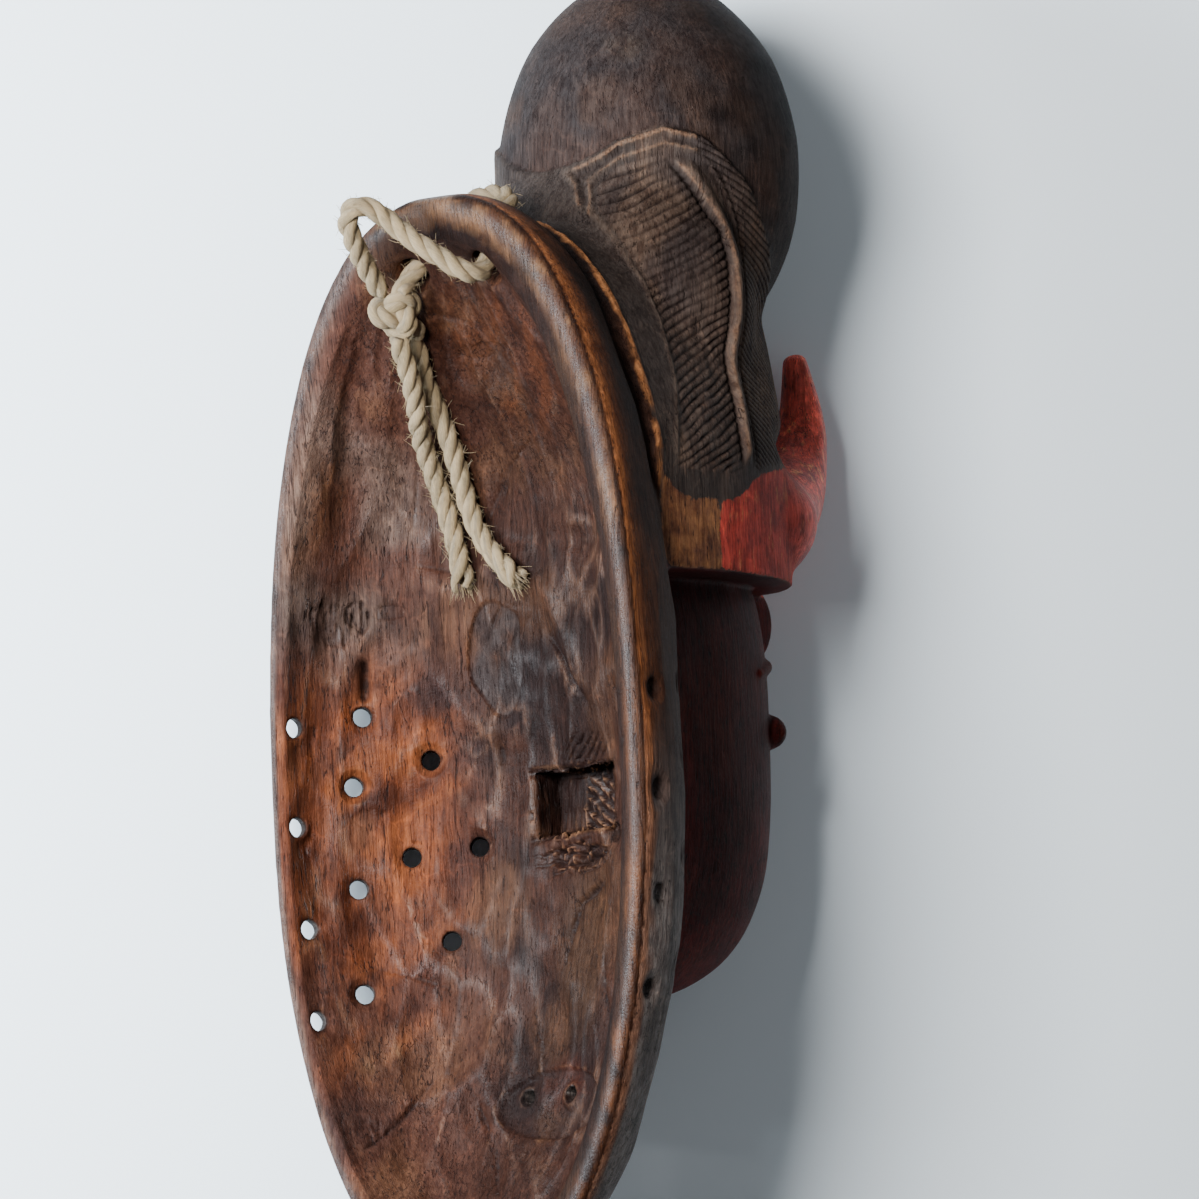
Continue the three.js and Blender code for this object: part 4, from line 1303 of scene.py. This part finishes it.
def jute_material():
    """Twisted jute: pale and dark fibres along each strand, fine bumps between them, and painted shade
    where the strands press together.
    """
    m = Nodes("jute")
    place = m.attribute("fibre", "Vector")
    fibre = m.noise(m.stretched(place, (0.16, 1.6, 1)), 3.4, 5, 0.7)
    coarse = m.noise(m.stretched(place, (0.12, 0.8, 1)), 1.5, 3, 0.6)
    patch = m.noise(m.attribute("at", "Vector"), 0.14, 2, 0.5)
    colour = m.mix(m.ramp(fibre, 0.3, 0.7), paint(98, 79, 52), paint(152, 132, 96))
    colour = m.mix(m.ramp(coarse, 0.55, 0.75, 0, 0.6), colour, paint(116, 94, 66))
    colour = m.mix(m.ramp(patch, 0.4, 0.65, 0, 0.4), colour, paint(168, 142, 104))
    # Painted shade: darker where the strands lie deep in the twist, between one strand and the next
    colour = m.mix(m.ramp(m.attribute("deep"), 0.2, 1, 0, 0.75), colour, paint(72, 56, 40))
    m.finish(Base_Color=colour, Normal=m.bump(fibre, 1, 0.0012))
    m.finish(Roughness=0.88, Specular_IOR_Level=0.25, Sheen_Weight=0.1)
    return m.material


def strand_paths(path, spread, pitch, turn=0.0):
    """Paths of the three strands that are twisted round a cord's own path."""
    first, second = frames_along(path)
    along = lengths_along(path)
    paths = []
    for k in range(3):
        angle = (2 * np.pi * (along / pitch + k / 3) + turn)[:, None]
        paths.append(path + spread[:, None] * (np.cos(angle) * first + np.sin(angle) * second))
    return paths


def strand(path, centre, radii, key):
    """One strand as a lumpy tube, with its fibre coordinates and how deep each point lies, for the
    painted shade between strands.
    """
    sides = 14
    first, second = frames_along(path)
    along = lengths_along(path)
    turn = np.linspace(0, 2 * np.pi, sides, endpoint=False)
    rings, places, deep = [], [], []
    for i, point in enumerate(path):
        ring = np.cos(turn)[:, None] * first[i] + np.sin(turn)[:, None] * second[i]
        lumps = 1 + 0.08 * noise(ring * 1.2 + (along[i] * 0.5, key, 0), 1.0, 70 + key)
        ring = point + ring * (radii[i] * lumps)[:, None]
        rings.append(ring)
        fibre = np.full(sides, along[i]), turn * 2 + 0.35 * along[i], np.full(sides, 9.0 * key)
        places.append(np.stack(fibre, 1))
        deep.append(1 - np.linalg.norm(ring - centre[i], axis=1) / (radii[i] * 1.9))
    points, faces = skin(rings)
    places = np.vstack([*places, places[0][:1], places[-1][:1]])
    deep = np.concatenate([*deep, [1, 1]])
    return points, faces, places, np.clip(deep, 0, 1)


def rope(route, pitch=20.0, closed=False, size=1.0, fray=(False, False), turn=0.0):
    """Three twisted strands along a route, splayed where an end is frayed."""
    path = spline(route, 0.8) if not closed else np.asarray(route, float)
    count = len(path)
    spread = np.full(count, 1.35 * size)
    radii = np.full(count, 1.85 * size)
    ends = np.arange(count) * 0.8
    for chosen, from_end in zip(fray, (ends, ends[::-1])):
        if chosen:
            spread += 1.5 * (1 - smoothstep(0, 9, from_end))
            radii *= 0.55 + 0.45 * smoothstep(0, 6, from_end)
        else:
            radii *= 0.8 + 0.2 * smoothstep(0, 2, from_end)
    paths = strand_paths(path, spread, pitch, turn)
    return [strand(way, path, radii, key) for key, way in enumerate(paths)]


def jute_piece(name, forms, fibre, deep, material):
    """One mesh of jute, with its place on the fibres and its depth in the cord, which sets its painted
    shade.
    """
    points, faces = joined(forms)
    piece = add_mesh(name, to_frame(points), faces)
    add_attribute(piece, "fibre", "FLOAT_VECTOR", points if fibre is None else fibre)
    add_attribute(piece, "deep", "FLOAT", np.zeros(len(points)) if deep is None else deep)
    add_attribute(piece, "at", "FLOAT_VECTOR", points)
    piece.data.materials.append(material)
    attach(piece, "root")
    return piece


def rope_piece(name, strands, material, node):
    fibre = np.vstack([part[2] for part in strands])
    deep = np.concatenate([part[3] for part in strands])
    piece = jute_piece(name, [part[:2] for part in strands], fibre, deep, material)
    piece.data.polygons.foreach_set("use_smooth", np.ones(len(piece.data.polygons), bool))
    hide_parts(node)
    return piece


def fuzz(path, count, seed, frayed=0):
    """Loose fibres standing off a cord, with a tuft at a frayed end."""
    draw = np.random.default_rng(seed)
    first, second = frames_along(path)
    tangents = directions(path)
    hairs = []
    for k in range(count + frayed):
        tuft = k >= count
        i = len(path) - 1 if tuft else draw.integers(2, len(path) - 2)
        angle = draw.uniform(0, 2 * np.pi)
        out = math.cos(angle) * first[i] + math.sin(angle) * second[i]
        start = path[i] + out * (draw.uniform(0.3, 3.4) if tuft else 2.7)
        if tuft:
            start = start - tangents[i] * 1.5
            heading = tangents[i] + 0.4 * out * draw.uniform(0.2, 1)
            length, curl = draw.uniform(2, 5.5), 0.3
        else:
            sideways = out * draw.uniform(0.25, 0.8)
            heading = sideways + tangents[i] * draw.choice((-1, 1)) * draw.uniform(0.5, 1)
            length, curl = draw.uniform(0.8, 2.2) * draw.choice((1, 1, 1, 2)), 0.5
        heading = heading / np.linalg.norm(heading)
        bend = draw.normal(0, curl, 3)
        t = np.linspace(0, 1, 5)[:, None]
        way = start + length * (t * heading + t * t * bend * 0.4)
        hairs.append(tube(way, np.linspace(0.1, 0.04, 5), 3))
    return hairs


def knot_ropes():
    """Overhand knot drawn tight, and the small hitch below it."""
    t = np.linspace(0, 2 * np.pi, 90)
    across = np.sin(t) + 2 * np.sin(2 * t)
    up = np.cos(t) - 2 * np.cos(2 * t)
    flat = np.stack([across, up, -1.5 * np.sin(3 * t)], 1)
    axes = np.array([VIEW_RIGHT, VIEW_UP, VIEW_BACK])
    turned = flat @ np.array([[0.94, 0.34, 0], [-0.34, 0.94, 0], [0, 0, 1]])
    main = KNOT_CENTRE + (turned * (1.95, 1.68, 1.6)) @ axes
    ring = np.linspace(0, 2 * np.pi, 40)
    hitch_axes = np.array([VIEW_RIGHT + 0.4 * VIEW_BACK, 0.5 * VIEW_UP + VIEW_BACK])
    hitch = HITCH_CENTRE + 3.7 * np.stack([np.cos(ring), np.sin(ring)], 1) @ hitch_axes
    return rope(main, 14, True, 1.0) + rope(hitch, 12, True, 0.78, turn=1.0)


def add_cords():
    material = jute_material()
    tail_end = (False, True)
    cords = (
        ("loop", LOOP_ROUTE, (False, False), "knot", 900),
        ("tail_left", LEFT_TAIL_ROUTE, tail_end, "bare", 500),
        ("tail_right", RIGHT_TAIL_ROUTE, tail_end, "bare", 500),
    )
    for seed, (key, route, fray, end, hairs) in enumerate(cords):
        piece = rope_piece("jute_" + key, rope(route, fray=fray, turn=seed), material, "cord_" + key)
        path = spline(route, 1.0)
        fibres = fuzz(path, hairs, 80 + seed, 40 if fray[1] else 0)
        loose = jute_piece("fuzz_" + key, fibres, None, None, material)
    rope_piece("jute_knot", knot_ropes(), material, "cord_knot")


def add_stage():
    floor = add_mesh("floor", [(-4, -4, 0), (4, -4, 0), (4, 4, 0), (-4, 4, 0)], [(0, 1, 2, 3)])
    m = Nodes("floor")
    m.finish(Base_Color=(0.84, 0.92, 0.975, 1), Roughness=0.7)
    floor.data.materials.append(m.material)


def add_light(name, direction, distance, size, power, colour=(1, 1, 1)):
    data = bpy.data.lights.new(name, "AREA")
    data.size, data.energy, data.color = size, power, colour
    light = bpy.data.objects.new(name, data)
    bpy.context.scene.collection.objects.link(light)
    outward_ray = direction_to_frame(direction).normalized()
    light.location = Vector((0, 0, 0.06)) + outward_ray * distance
    light.rotation_euler = outward_ray.to_track_quat("Z", "Y").to_euler()


def add_lights():
    up = AXES[2]
    left = -VIEW_RIGHT + (VIEW_RIGHT @ up) * up
    left /= np.linalg.norm(left)
    add_light("key", -0.36 * VIEW_RIGHT + 0.25 * VIEW_UP + 0.9 * VIEW_BACK, 1.15, 0.4, 36)
    add_light("fill", 0.7 * VIEW_RIGHT + 0.2 * VIEW_UP + 0.9 * VIEW_BACK, 2.0, 1.6, 2)
    add_light("low", math.cos(0.35) * left + math.sin(0.35) * up, 1.0, 0.3, 38, (0.82, 0.92, 1))
    world = bpy.data.worlds.new("world")
    world.use_nodes = True
    world.node_tree.nodes["Background"].inputs["Color"].default_value = (0.9, 0.95, 1, 1)
    world.node_tree.nodes["Background"].inputs["Strength"].default_value = 0.17
    bpy.context.scene.world = world


add_cords()
add_wood()
add_stage()
add_lights()
